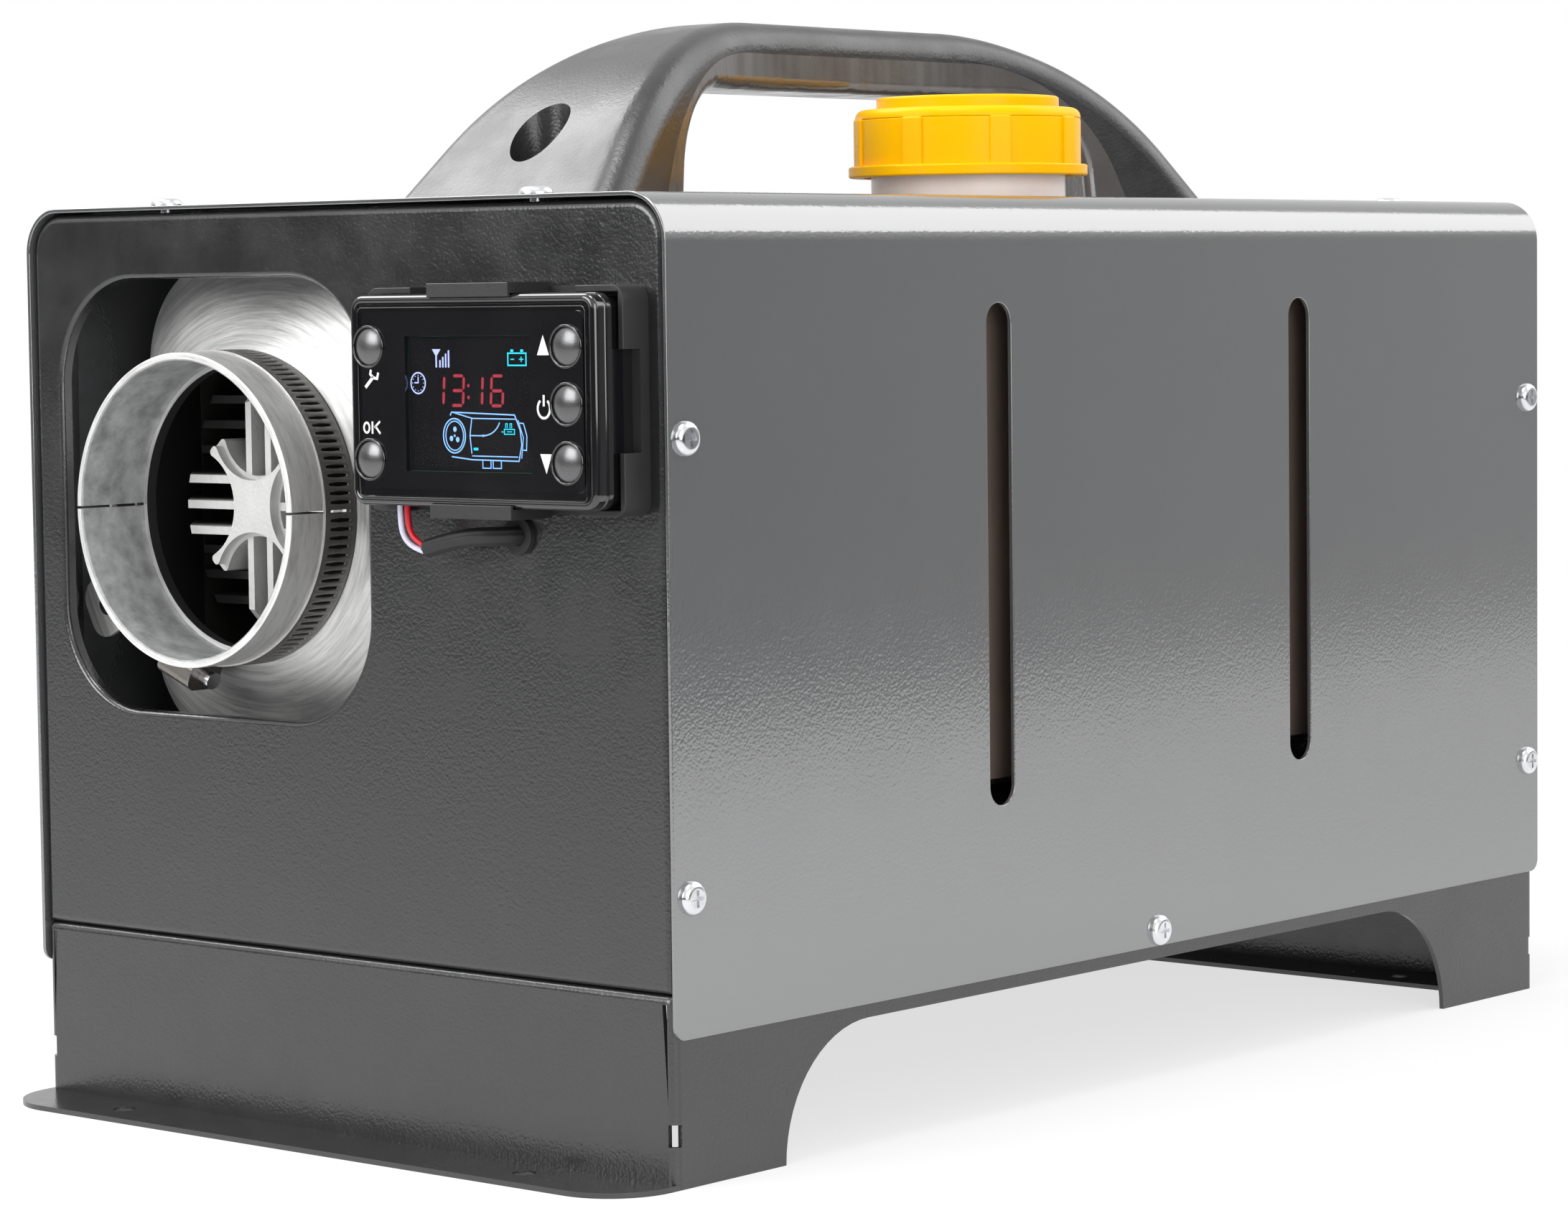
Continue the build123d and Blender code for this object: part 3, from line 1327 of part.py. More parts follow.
with BuildPart() as controller_board:
    with BuildSketch(on_controller(board_front)):
        RectangleRounded(control_width - 2 * back_margin - 2 * back_wall - 2 * fit_gap,
                         control_height - 2 * back_margin - 2 * back_wall - 2 * fit_gap,
                         control_corner - back_wall)
    extrude(amount=-board_sheet)
    with BuildSketch(on_controller(board_front)):
        for place in button_places.values():
            with Locations(place):
                Circle(switch_radius)
    extrude(amount=switch_height)
    # display under the lens
    with BuildSketch(on_controller(board_front)):
        with Locations((window_x, window_z)):
            Rectangle(window_width, window_height)
    extrude(amount=board_front - button_rest)
controller_board.part.label = "controller_board"

with BuildPart() as controller_back:
    with BuildSketch(on_controller(bezel_back)):
        RectangleRounded(control_width - 2 * back_margin, control_height - 2 * back_margin,
                         control_corner - back_margin)
    extrude(amount=-(holder_front - bezel_back))
    with BuildSketch(on_controller(bezel_back)):
        RectangleRounded(control_width - 2 * back_margin - 2 * back_wall,
                         control_height - 2 * back_margin - 2 * back_wall,
                         control_corner - back_wall)
    extrude(amount=-(holder_front - bezel_back - back_wall), mode=Mode.SUBTRACT)
controller_back.part.label = "controller_back"

buttons = []
for name, place in button_places.items():
    with BuildPart() as button:
        with BuildSketch(on_controller(button_rest + button_flange)):
            with Locations(place):
                Circle(button_radius + button_flange_margin)
        extrude(amount=button_flange)
        with BuildSketch(on_controller(button_rest)):
            with Locations(place):
                Circle(button_radius)
        extrude(amount=bezel_wall + button_rise)
        fillet(button.edges().sort_by(Axis.Y)[0], button_rise - fit_gap)
    button.part.label = name
    buttons.append(button)

# ---- holder of the controller -------------------------------------------------------

with BuildPart() as controller_bracket:
    seat_width = control_width + 2 * fit_gap
    seat_height = control_height + 2 * fit_gap
    with BuildSketch(on_controller(panel_front)):
        RectangleRounded(seat_width + 2 * holder_wall, seat_height + 2 * holder_wall,
                         control_corner)
    extrude(amount=holder_sheet)
    # low fences round the four corners
    with BuildSketch(on_controller(holder_front)):
        RectangleRounded(seat_width + 2 * holder_wall, seat_height + 2 * holder_wall,
                         control_corner)
        Rectangle(seat_width, seat_height, mode=Mode.SUBTRACT)
        Rectangle(seat_width - 2 * holder_corner_length, 2 * control_height, mode=Mode.SUBTRACT)
        Rectangle(2 * control_width, seat_height - 2 * holder_corner_length, mode=Mode.SUBTRACT)
        with Locations((lead_notch_x, -seat_height / 2)):
            Rectangle(lead_notch, 4 * holder_wall, mode=Mode.SUBTRACT)
    extrude(amount=holder_corner_reach - holder_sheet)
    # a hooked clip above and below
    for side in (-1, 1):
        with BuildSketch(on_controller(holder_front)):
            with Locations((0, side * (seat_height + clip_sheet) / 2)):
                Rectangle(clip_width, clip_sheet)
        extrude(amount=holder_front - bezel_front)
        with BuildSketch(on_controller(bezel_front)):
            with Locations((0, side * (seat_height / 2 + clip_sheet / 2 - clip_hook / 2))):
                Rectangle(clip_width, clip_sheet + clip_hook)
        extrude(amount=clip_hook)
    fronts = controller_bracket.faces().filter_by(lambda face: face.normal_at().Y < -0.9)
    fronts = fronts.filter_by(lambda face: face.center().Y < holder_front - fit_gap)
    fillet(fronts.edges(), edge_round)
controller_bracket.part.label = "controller_bracket"

# ---- leads --------------------------------------------------------------------------

lead_y = front - lead_depth
sleeve_y = front - sleeve_depth
control_bottom = control_z - control_height / 2 + back_margin
lead_x = control_x - lead_offset

lead_sleeve = tube_along([(lead_x + 9.7, sleeve_y, sleeve_hole_z - 3.6),
                          (lead_x + 15.6, sleeve_y, sleeve_hole_z - 2.1),
                          (lead_x + 20.8, sleeve_y + 0.3, sleeve_hole_z - 1.0),
                          (sleeve_hole_x - 8.3, sleeve_y + 1.0, sleeve_hole_z - 0.1),
                          (sleeve_hole_x - 3.1, sleeve_y + 2.1, sleeve_hole_z + 0.1),
                          (sleeve_hole_x - 0.4, sleeve_y + 5.5, sleeve_hole_z + 0.1),
                          (sleeve_hole_x, front - 0.4, sleeve_hole_z),
                          (sleeve_hole_x, front + 5.6, sleeve_hole_z)], sleeve_radius)
lead_sleeve.part.label = "lead_sleeve"

lead_white = tube_along([(lead_x, lead_y, control_bottom), (lead_x, lead_y, control_bottom - 6.2),
                         (lead_x + 1.5, lead_y, control_bottom - 10.3),
                         (lead_x + 5.2, lead_y, control_bottom - 12.8),
                         (lead_x + 9.6, lead_y, control_bottom - 13.65)], lead_radius)
lead_white.part.label = "lead_white"

lead_blue = tube_along([(lead_x + 1.4, lead_y + 1.5, control_bottom),
                        (lead_x + 1.4, lead_y + 1.5, control_bottom - 5.6),
                        (lead_x + 2.8, lead_y + 1.5, control_bottom - 9.5),
                        (lead_x + 5.8, lead_y + 1.5, control_bottom - 11.9),
                        (lead_x + 9.4, lead_y + 1.5, control_bottom - 12.8)], lead_radius)
lead_blue.part.label = "lead_blue"

lead_red = tube_along([(lead_x + 2.7, lead_y, control_bottom),
                       (lead_x + 2.7, lead_y, control_bottom - 5.0),
                       (lead_x + 3.9, lead_y, control_bottom - 8.7),
                       (lead_x + 6.3, lead_y, control_bottom - 10.9),
                       (lead_x + 9.1, lead_y, control_bottom - 11.95)], lead_radius)
lead_red.part.label = "lead_red"

with BuildPart() as panel_grommet:
    with BuildSketch(facing_front(panel_front)):
        with Locations((sleeve_hole_x, sleeve_hole_z)):
            ring(sleeve_hole_radius + grommet_rim, sleeve_radius + sleeve_gap)
    extrude(amount=panel_sheet)
    with BuildSketch(facing_front(panel_front)):
        with Locations((sleeve_hole_x, sleeve_hole_z)):
            ring(sleeve_hole_radius, sleeve_radius + sleeve_gap)
    extrude(amount=-2 * panel_sheet)
panel_grommet.part.label = "panel_grommet"

# ---- rear fittings ------------------------------------------------------------------

with BuildPart() as power_gland:
    with BuildSketch(facing_front(panel_back)):
        with Locations((gland_x, gland_z)):
            RegularPolygon(gland_radius, 6)
    extrude(amount=-(gland_reach + panel_inset - gland_dome_length))
    with BuildSketch(facing_front(back + gland_reach)):
        with Locations((gland_x, gland_z)):
            Circle(gland_dome)
    extrude(amount=gland_dome_length)
    fillet(power_gland.faces().sort_by(Axis.Y)[-1].edges(), foot_corner)
    with BuildSketch(facing_front(panel_back)):
        with Locations((gland_x, gland_z)):
            Circle(gland_thread)
    extrude(amount=panel_sheet + 2 * gland_nut)
    with BuildSketch(facing_front(panel_back - panel_sheet)):
        with Locations((gland_x, gland_z)):
            RegularPolygon(gland_nut_radius, 6)
    extrude(amount=gland_nut)
    with BuildSketch(facing_front(back + gland_reach)):
        with Locations((gland_x, gland_z)):
            Circle(gland_bore)
    extrude(amount=body_length / 2, mode=Mode.SUBTRACT)
power_gland.part.label = "power_gland"

with BuildPart() as inlet_grille:
    with BuildSketch(along_duct(panel_back + grille_depth)):
        pitch = grille_radius / grille_rings
        for index in range(grille_rings):
            outer = grille_radius - index * pitch
            ring(outer, outer - grille_ring_sheet)
        ring(grille_radius, grille_screw_ring - 2 * screw_radius)
        with PolarLocations(grille_radius / 2, grille_spokes):
            Rectangle(grille_radius - grille_ring_sheet, grille_ring_sheet)
        Circle(grille_ring_sheet * 2)
        with PolarLocations(grille_screw_ring, 4, start_angle=45):
            Circle(screw_radius, mode=Mode.SUBTRACT)
    extrude(amount=grille_depth)
inlet_grille.part.label = "inlet_grille"

for piece in (base, front_panel, rear_panel, cover, cover_screws, handle_shell, handle_insert,
              handle_screws, outlet_hood, collar_upper, collar_lower, clamp_band,
              clamp_housing, clamp_screw, heater_shell_upper, heater_shell_lower,
              heat_exchanger, overheat_sensor, burner_tube, glow_plug, blower_housing,
              motor_body, control_unit, rotor_shaft, combustion_fan, air_fan, heater_gasket,
              heater_bracket, heater_nuts, exhaust_pipe, intake_pipe, fuel_tank, tank_shelf,
              tank_strap, fuel_cap, cap_seal, fuel_filter, pump_body, pump_plunger, pump_clamp,
              fuel_hose_tank, fuel_hose_pump, controller_bezel, controller_lens,
              controller_board, controller_back, *buttons, controller_bracket, lead_sleeve,
              lead_white, lead_blue, lead_red, panel_grommet, power_gland, inlet_grille):
    export_step(piece.part, f"parts/{piece.part.label}.step")
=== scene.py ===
import bpy
import bmesh
import json
import math
from mathutils import Matrix, Vector


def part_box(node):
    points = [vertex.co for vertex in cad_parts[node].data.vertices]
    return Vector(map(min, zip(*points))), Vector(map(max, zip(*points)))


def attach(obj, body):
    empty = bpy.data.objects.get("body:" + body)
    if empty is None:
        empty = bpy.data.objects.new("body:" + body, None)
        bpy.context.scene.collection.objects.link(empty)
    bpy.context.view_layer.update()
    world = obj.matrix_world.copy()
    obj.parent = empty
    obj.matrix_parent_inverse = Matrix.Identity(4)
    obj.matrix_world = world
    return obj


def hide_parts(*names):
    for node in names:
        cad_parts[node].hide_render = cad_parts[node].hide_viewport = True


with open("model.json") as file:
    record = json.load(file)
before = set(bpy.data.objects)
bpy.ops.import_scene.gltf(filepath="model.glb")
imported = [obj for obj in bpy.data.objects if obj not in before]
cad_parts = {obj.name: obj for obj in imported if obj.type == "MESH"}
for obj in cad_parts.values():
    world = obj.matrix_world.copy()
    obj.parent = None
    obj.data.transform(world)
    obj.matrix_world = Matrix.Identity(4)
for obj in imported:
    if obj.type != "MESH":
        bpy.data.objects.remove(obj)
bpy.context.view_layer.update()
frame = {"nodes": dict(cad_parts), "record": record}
nodes = frame["nodes"]
print("frame loaded,", len(nodes), "nodes")

# places that several pieces share, in metres
heater = {
    "ductX": -0.050,  # axis of the warm air outlet
    "ductZ": 0.177,
    "clampFront": -0.2119,  # front edge of the worm clamp's band
}
mm = 0.001  # signs, rings and edges are drawn in millimetres


def addObject(name, data):
    thing = bpy.data.objects.new(name, data)
    bpy.context.collection.objects.link(thing)
    return thing


# camera
cameraView = {
    "place": (0.91832, -1.09900, 0.23706),
    "azimuth": 40.3767,
    "elevation": 4.0109,
    "roll": -0.7093,
    "lens": 104.29,
    "sensor": 36,
    "nearest": 0.05,
}


def makeCamera(view):
    az, el, roll = (math.radians(view[key]) for key in ("azimuth", "elevation", "roll"))
    back = Vector((math.sin(az) * math.cos(el), -math.cos(az) * math.cos(el), math.sin(el)))
    right = (-back).cross(Vector((0, 0, 1))).normalized()
    up = right.cross(-back)
    side = right * math.cos(roll) + up * math.sin(roll)
    top = up * math.cos(roll) - right * math.sin(roll)
    turn = Matrix((side, top, back)).transposed().to_4x4()
    data = bpy.data.cameras.new("photoCamera")
    data.lens = view["lens"]
    data.sensor_width = view["sensor"]
    data.clip_start = view["nearest"]
    camera = addObject("photoCamera", data)
    camera.matrix_world = Matrix.Translation(view["place"]) @ turn
    bpy.context.scene.camera = camera


makeCamera(cameraView)
print("camera set")


# shared effects as node groups
def newGroup(name, inputs, outputs):
    group = bpy.data.node_groups.new(name, "ShaderNodeTree")
    for label, kind, value in inputs:
        socket = group.interface.new_socket(label, in_out="INPUT", socket_type=kind)
        if value is not None:
            socket.default_value = value
    for label, kind in outputs:
        group.interface.new_socket(label, in_out="OUTPUT", socket_type=kind)
    return group, group.nodes.new("NodeGroupInput"), group.nodes.new("NodeGroupOutput")


def addNode(tree, kind, **settings):
    node = tree.nodes.new(kind)
    for key, value in settings.items():
        setattr(node, key, value)
    return node


def calc(tree, operation, first, second=None, third=None):
    node = addNode(tree, "ShaderNodeMath", operation=operation)
    for index, value in enumerate((first, second, third)):
        if value is None:
            continue
        if isinstance(value, (int, float)):
            node.inputs[index].default_value = value
        else:
            tree.links.new(value, node.inputs[index])
    return node.outputs[0]


def noiseOf(tree, vector, scale, detail=3.0, roughness=0.5):
    node = addNode(tree, "ShaderNodeTexNoise")
    node.inputs["Detail"].default_value = detail
    node.inputs["Roughness"].default_value = roughness
    tree.links.new(vector, node.inputs["Vector"])
    if isinstance(scale, (int, float)):
        node.inputs["Scale"].default_value = scale
    else:
        tree.links.new(scale, node.inputs["Scale"])
    return node.outputs[0]


def rangeOf(tree, value, low, high, bottom=0.0, top=1.0, kind="SMOOTHSTEP"):
    node = addNode(tree, "ShaderNodeMapRange", interpolation_type=kind)
    for label, level in (("From Min", low), ("From Max", high), ("To Min", bottom),
                         ("To Max", top)):
        node.inputs[label].default_value = level
    tree.links.new(value, node.inputs["Value"])
    return node


def placeParts(tree):  # x, y and z of the place on the surface
    parts = addNode(tree, "ShaderNodeSeparateXYZ")
    tree.links.new(addNode(tree, "ShaderNodeTexCoord").outputs["Object"], parts.inputs[0])
    return parts.outputs


def fromDuct(tree, parts):  # distances across, up and straight out from the outlet's axis
    across = calc(tree, "SUBTRACT", parts[0], heater["ductX"])
    rise = calc(tree, "SUBTRACT", parts[2], heater["ductZ"])
    squares = calc(tree, "ADD", calc(tree, "MULTIPLY", across, across),
                   calc(tree, "MULTIPLY", rise, rise))
    return across, rise, calc(tree, "SQRT", squares)


def makeToneGroup():  # lighter and darker areas in a colour
    group, start, end = newGroup(
        "toneVariation",
        [("Color", "NodeSocketColor", None), ("Amount", "NodeSocketFloat", 0.05),
         ("Scale", "NodeSocketFloat", 12.0)],
        [("Color", "NodeSocketColor")])
    place = addNode(group, "ShaderNodeTexCoord").outputs["Object"]
    wide = noiseOf(group, place, start.outputs["Scale"], 4.0, 0.6)
    swing = calc(group, "MULTIPLY", calc(group, "SUBTRACT", wide, 0.5), 4.0)
    value = calc(group, "MULTIPLY_ADD", swing, start.outputs["Amount"], 1.0)
    shade = addNode(group, "ShaderNodeHueSaturation")
    group.links.new(value, shade.inputs["Value"])
    group.links.new(start.outputs["Color"], shade.inputs["Color"])
    group.links.new(shade.outputs[0], end.inputs["Color"])
    return group


def makeSmudgeGroup():  # roughness that wanders between two values
    group, start, end = newGroup(
        "smudges",
        [("Low", "NodeSocketFloat", 0.3), ("High", "NodeSocketFloat", 0.5),
         ("Scale", "NodeSocketFloat", 40.0)],
        [("Roughness", "NodeSocketFloat")])
    place = addNode(group, "ShaderNodeTexCoord").outputs["Object"]
    wander = noiseOf(group, place, start.outputs["Scale"], 5.0, 0.6)
    ramp = rangeOf(group, wander, 0.3, 0.7)
    group.links.new(start.outputs["Low"], ramp.inputs["To Min"])
    group.links.new(start.outputs["High"], ramp.inputs["To Max"])
    group.links.new(ramp.outputs[0], end.inputs["Roughness"])
    return group


def makeGrainGroup():  # fine pebbled texture of powder coat and moulded plastic
    group, start, end = newGroup(
        "fineGrain",
        [("Scale", "NodeSocketFloat", 900.0), ("Softness", "NodeSocketFloat", 0.5)],
        [("Height", "NodeSocketFloat")])
    place = addNode(group, "ShaderNodeTexCoord").outputs["Object"]
    pebbles = addNode(group, "ShaderNodeTexVoronoi", feature="SMOOTH_F1")
    group.links.new(place, pebbles.inputs["Vector"])
    group.links.new(start.outputs["Scale"], pebbles.inputs["Scale"])
    group.links.new(start.outputs["Softness"], pebbles.inputs["Smoothness"])
    coarse = noiseOf(group, place, calc(group, "MULTIPLY", start.outputs["Scale"], 0.6), 3.0)
    height = calc(group, "MULTIPLY_ADD", pebbles.outputs["Distance"], -0.7, coarse)
    group.links.new(height, end.inputs["Height"])
    return group


def makeAroundDuctGroup():  # brush lines that run round the outlet's axis
    group, start, end = newGroup(
        "brushedRound",
        [("Fine", "NodeSocketFloat", 2500.0), ("Along", "NodeSocketFloat", 5.0)],
        [("Height", "NodeSocketFloat"), ("Tone", "NodeSocketFloat")])
    parts = placeParts(group)
    across, rise, radius = fromDuct(group, parts)
    turn = calc(group, "ARCTAN2", rise, across)
    fine = start.outputs["Fine"]
    lines = addNode(group, "ShaderNodeCombineXYZ")
    group.links.new(calc(group, "MULTIPLY", radius, fine), lines.inputs[0])
    group.links.new(calc(group, "MULTIPLY", parts[1], fine), lines.inputs[1])
    group.links.new(calc(group, "MULTIPLY", turn, start.outputs["Along"]), lines.inputs[2])
    height = noiseOf(group, lines.outputs[0], 1.0, 4.0, 0.6)
    group.links.new(height, end.inputs["Height"])
    group.links.new(noiseOf(group, lines.outputs[0], 0.45, 4.0, 0.7), end.inputs["Tone"])
    return group


def makeZoneGroup():  # 1 where the surface lies within a span of radius round the outlet
    group, start, end = newGroup(
        "outletZone",
        [("From", "NodeSocketFloat", 0.0), ("To", "NodeSocketFloat", 0.1)],
        [("Mask", "NodeSocketFloat")])
    across, rise, radius = fromDuct(group, placeParts(group))
    above = calc(group, "GREATER_THAN", radius, start.outputs["From"])
    below = calc(group, "LESS_THAN", radius, start.outputs["To"])
    group.links.new(calc(group, "MULTIPLY", above, below), end.inputs["Mask"])
    return group


toneGroup = makeToneGroup()
smudgeGroup = makeSmudgeGroup()
grainGroup = makeGrainGroup()
roundGroup = makeAroundDuctGroup()
zoneGroup = makeZoneGroup()


def useGroup(tree, group, **values):
    node = addNode(tree, "ShaderNodeGroup", node_tree=group)
    for label, value in values.items():
        node.inputs[label].default_value = value
    return node


def newFinish(name, color, tone=0.05, toneScale=14.0, rough=(0.35, 0.5), roughScale=45.0,
              grain=0.0, grainDepth=0.0, brushed=None, **shaderValues):
    # brushed gives how fine the lines are, how often they break off and how much they shade
    material = bpy.data.materials.new(name)
    material.use_nodes = True
    tree = material.node_tree
    shader = tree.nodes["Principled BSDF"]
    tint = useGroup(tree, toneGroup, Color=(*color, 1.0), Amount=tone, Scale=toneScale)
    tree.links.new(tint.outputs[0], shader.inputs["Base Color"])
    wander = useGroup(tree, smudgeGroup, Low=rough[0], High=rough[1], Scale=roughScale)
    tree.links.new(wander.outputs[0], shader.inputs["Roughness"])
    if grain or brushed:
        bump = addNode(tree, "ShaderNodeBump")
        bump.inputs["Distance"].default_value = grainDepth
        if brushed:
            fine, along, shading = brushed
            lines = useGroup(tree, roundGroup, Fine=fine, Along=along)
            streak = rangeOf(tree, lines.outputs["Tone"], 0.3, 0.7, 1 - shading, 1 + shading,
                             "LINEAR")
            shade = addNode(tree, "ShaderNodeHueSaturation")
            tree.links.new(streak.outputs[0], shade.inputs["Value"])
            tree.links.new(tint.outputs[0], shade.inputs["Color"])
            tree.links.new(shade.outputs[0], shader.inputs["Base Color"])
        else:
            lines = useGroup(tree, grainGroup, Scale=grain)
        tree.links.new(lines.outputs["Height"], bump.inputs["Height"])
        tree.links.new(bump.outputs[0], shader.inputs["Normal"])
    for label, value in shaderValues.items():
        shader.inputs[label.replace("_", " ")].default_value = value
    return material


def blendInto(material, mask, color=None, rough=None, metallic=None):
    # where the mask is 1 the surface takes these values in place of its own
    tree = material.node_tree
    shader = tree.nodes["Principled BSDF"]
    for label, value in (("Base Color", color), ("Roughness", rough), ("Metallic", metallic)):
        if value is None:
            continue
        kind = "RGBA" if label == "Base Color" else "FLOAT"
        mixed = addNode(tree, "ShaderNodeMix", data_type=kind)
        first, second = (6, 7) if kind == "RGBA" else (2, 3)
        socket = shader.inputs[label]
        if socket.is_linked:
            tree.links.new(socket.links[0].from_socket, mixed.inputs[first])
        else:
            mixed.inputs[first].default_value = socket.default_value
        if isinstance(value, bpy.types.NodeSocket):
            tree.links.new(value, mixed.inputs[second])
        else:
            mixed.inputs[second].default_value = value
        tree.links.new(mask, mixed.inputs[0])
        tree.links.new(mixed.outputs[2 if kind == "RGBA" else 0], socket)


# finishes, one for each material slot of the heater
finishes = {
    "cover_paint": newFinish("coverPaint", (0.084, 0.086, 0.089), tone=0.03, rough=(0.10, 0.13),
                             grain=1100, grainDepth=0.000024, IOR=2.9),
    "case_paint": newFinish("casePaint", (0.011, 0.0112, 0.012), tone=0.05, rough=(0.2, 0.28),
                            grain=1200, grainDepth=0.00005, IOR=1.85),
    "grip_black": newFinish("gripBlack", (0.022, 0.022, 0.023), tone=0.06, rough=(0.26, 0.4),
                            grain=1100, grainDepth=0.00006, IOR=1.65),
    "cap_yellow": newFinish("capYellow", (1.0, 0.505, 0.0), tone=0.02, rough=(0.25, 0.35),
                            grain=700, grainDepth=0.00002, Specular_IOR_Level=0.15, IOR=1.4),
    "collar_metal": newFinish("collarMetal", (0.93, 0.93, 0.92), tone=0.05, rough=(0.3, 0.42),
                              brushed=(1300, 9, 0.22), grainDepth=0.00004, Metallic=0.75),
    "stainless": newFinish("stainless", (0.82, 0.82, 0.81), tone=0.06, rough=(0.34, 0.48),
                           brushed=(1500, 5, 0.25), grainDepth=0.00005, Metallic=0.75),
    "zinc_steel": newFinish("zincSteel", (0.80, 0.81, 0.83), tone=0.05, rough=(0.14, 0.3),
                            roughScale=300, grain=600, grainDepth=0.00002, Metallic=1.0),
    "cast_alloy": newFinish("castAlloy", (0.70, 0.70, 0.69), tone=0.06, toneScale=60,
                            rough=(0.4, 0.6), grain=900, grainDepth=0.00012, Metallic=0.4),
    "shell_plastic": newFinish("shellPlastic", (0.05, 0.046, 0.042), rough=(0.4, 0.6),
                               grain=900, grainDepth=0.00006),
    "tank_plastic": newFinish("tankPlastic", (0.95, 0.84, 0.81), tone=0.03, rough=(0.28, 0.4),
                              grain=400, grainDepth=0.00003, Subsurface_Weight=0.5,
                              Subsurface_Radius=(0.01, 0.006, 0.005)),
    "control_plastic": newFinish("controlPlastic", (0.006, 0.006, 0.007), tone=0.05,
                                 rough=(0.08, 0.14), roughScale=30, IOR=1.9),
    "button_metal": newFinish("buttonMetal", (0.17, 0.17, 0.174), rough=(0.24, 0.3),
                              grain=1500, grainDepth=0.00001, Metallic=0.9),
    "board_green": newFinish("boardGreen", (0.02, 0.12, 0.05), rough=(0.3, 0.45),
                             grain=500, grainDepth=0.00004),
    "rubber_black": newFinish("rubberBlack", (0.018, 0.018, 0.018), rough=(0.45, 0.62),
                              grain=800, grainDepth=0.00004),
    "lead_white": newFinish("leadWhite", (0.62, 0.62, 0.76), tone=0.03, rough=(0.3, 0.4),
                            grain=500, grainDepth=0.00001),
    "lead_red": newFinish("leadRed", (0.60, 0.010, 0.022), tone=0.03, rough=(0.3, 0.4),
                          grain=500, grainDepth=0.00001),
    "lead_blue": newFinish("leadBlue", (0.012, 0.010, 0.07), tone=0.03, rough=(0.3, 0.4),
                           grain=500, grainDepth=0.00001),
    "motor_steel": newFinish("motorSteel", (0.10, 0.10, 0.11), rough=(0.35, 0.5),
                             grain=700, grainDepth=0.00004),
    "window": newFinish("windowGlass", (0.02, 0.02, 0.024), tone=0.02, rough=(0.05, 0.09),
                        Alpha=0.2, IOR=1.5),
}
finishes["window"].surface_render_method = "BLENDED"


# wear and shading of single finishes
collarBoreAndSeatShade = {
    "boreRadius": 0.0432, "boreColor": (0.37, 0.375, 0.375, 1), "boreMottle": 0.42,
    "boreScale": 170.0, "boreRough": 0.5, "boreMetal": 0.35,
    "shadedSeatRadii": (0.0436, 0.04475), "shadedSeatBack": 0.0008, "seatShadeColor": (0.006, 0.006, 0.006, 1),
    "seatShadeRough": 0.7,
}


def finishBoreAndShadeSeat(material, boreAndShade):  # rough cast bore, painted shade on the seat behind the clamp band, bare bright rim
    tree = material.node_tree
    mottle = useGroup(tree, toneGroup, Color=boreAndShade["boreColor"], Amount=boreAndShade["boreMottle"],
                      Scale=boreAndShade["boreScale"])
    bore = useGroup(tree, zoneGroup, From=0.0, To=boreAndShade["boreRadius"])
    blendInto(material, bore.outputs[0], mottle.outputs[0], boreAndShade["boreRough"],
              boreAndShade["boreMetal"])
    # painted shade: the seat under the clamp band's slots is darkened to stand in for the shade
    # that falls there
    behind = calc(tree, "GREATER_THAN", placeParts(tree)[1],
                  heater["clampFront"] - boreAndShade["shadedSeatBack"])
    seat = useGroup(tree, zoneGroup, From=boreAndShade["shadedSeatRadii"][0], To=boreAndShade["shadedSeatRadii"][1])
    shaded = calc(tree, "MULTIPLY", behind, seat.outputs[0])
    blendInto(material, shaded, boreAndShade["seatShadeColor"], boreAndShade["seatShadeRough"], 0.0)


hoodInnerShade = {"turnedIn": -0.002, "color": (0.010, 0.010, 0.010, 1), "rough": 0.65}


def shadeHoodInside(material, innerShade):  # painted shade: dark where the surface faces the outlet's axis, inside the duct
    tree = material.node_tree
    coords = addNode(tree, "ShaderNodeTexCoord")
    away = addNode(tree, "ShaderNodeVectorMath", operation="SUBTRACT")
    tree.links.new(coords.outputs["Object"], away.inputs[0])
    away.inputs[1].default_value = (heater["ductX"], 0.0, heater["ductZ"])
    flat = addNode(tree, "ShaderNodeVectorMath", operation="MULTIPLY")
    tree.links.new(away.outputs[0], flat.inputs[0])
    flat.inputs[1].default_value = (1.0, 0.0, 1.0)
    facing = addNode(tree, "ShaderNodeVectorMath", operation="DOT_PRODUCT")
    tree.links.new(flat.outputs[0], facing.inputs[0])
    tree.links.new(coords.outputs["Normal"], facing.inputs[1])
    inside = calc(tree, "LESS_THAN", facing.outputs["Value"], innerShade["turnedIn"])
    blendInto(material, inside, innerShade["color"], innerShade["rough"], 0.0)


buttonEdgeShade = {"from": -0.95, "to": -0.6, "amount": 0.85, "color": (0.02, 0.02, 0.021, 1)}


def shadeButton(material, edge):  # painted shade: the dome's steep edge is darker than its crown, standing in for the dark plastic it reflects
    tree = material.node_tree
    parts = addNode(tree, "ShaderNodeSeparateXYZ")
    tree.links.new(addNode(tree, "ShaderNodeTexCoord").outputs["Normal"], parts.inputs[0])
    steep = rangeOf(tree, parts.outputs[1], edge["from"], edge["to"], top=edge["amount"])
    blendInto(material, steep.outputs[0], edge["color"])


finShade = {"from": 0.0045, "to": 0.016, "amount": 0.9, "color": (0.05, 0.05, 0.05, 1),
            "rough": 0.65}


def shadeExchanger(material, shade):  # painted shade: the cast fins darken towards the back of their gaps
    tree = material.node_tree
    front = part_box("heat_exchanger")[0].y
    depth = rangeOf(tree, placeParts(tree)[1], front + shade["from"], front + shade["to"],
                    top=shade["amount"])
    blendInto(material, depth.outputs[0], shade["color"], shade["rough"])


insertWaves = {"height": 0.0014, "scale": 62.0, "detail": 2.0}


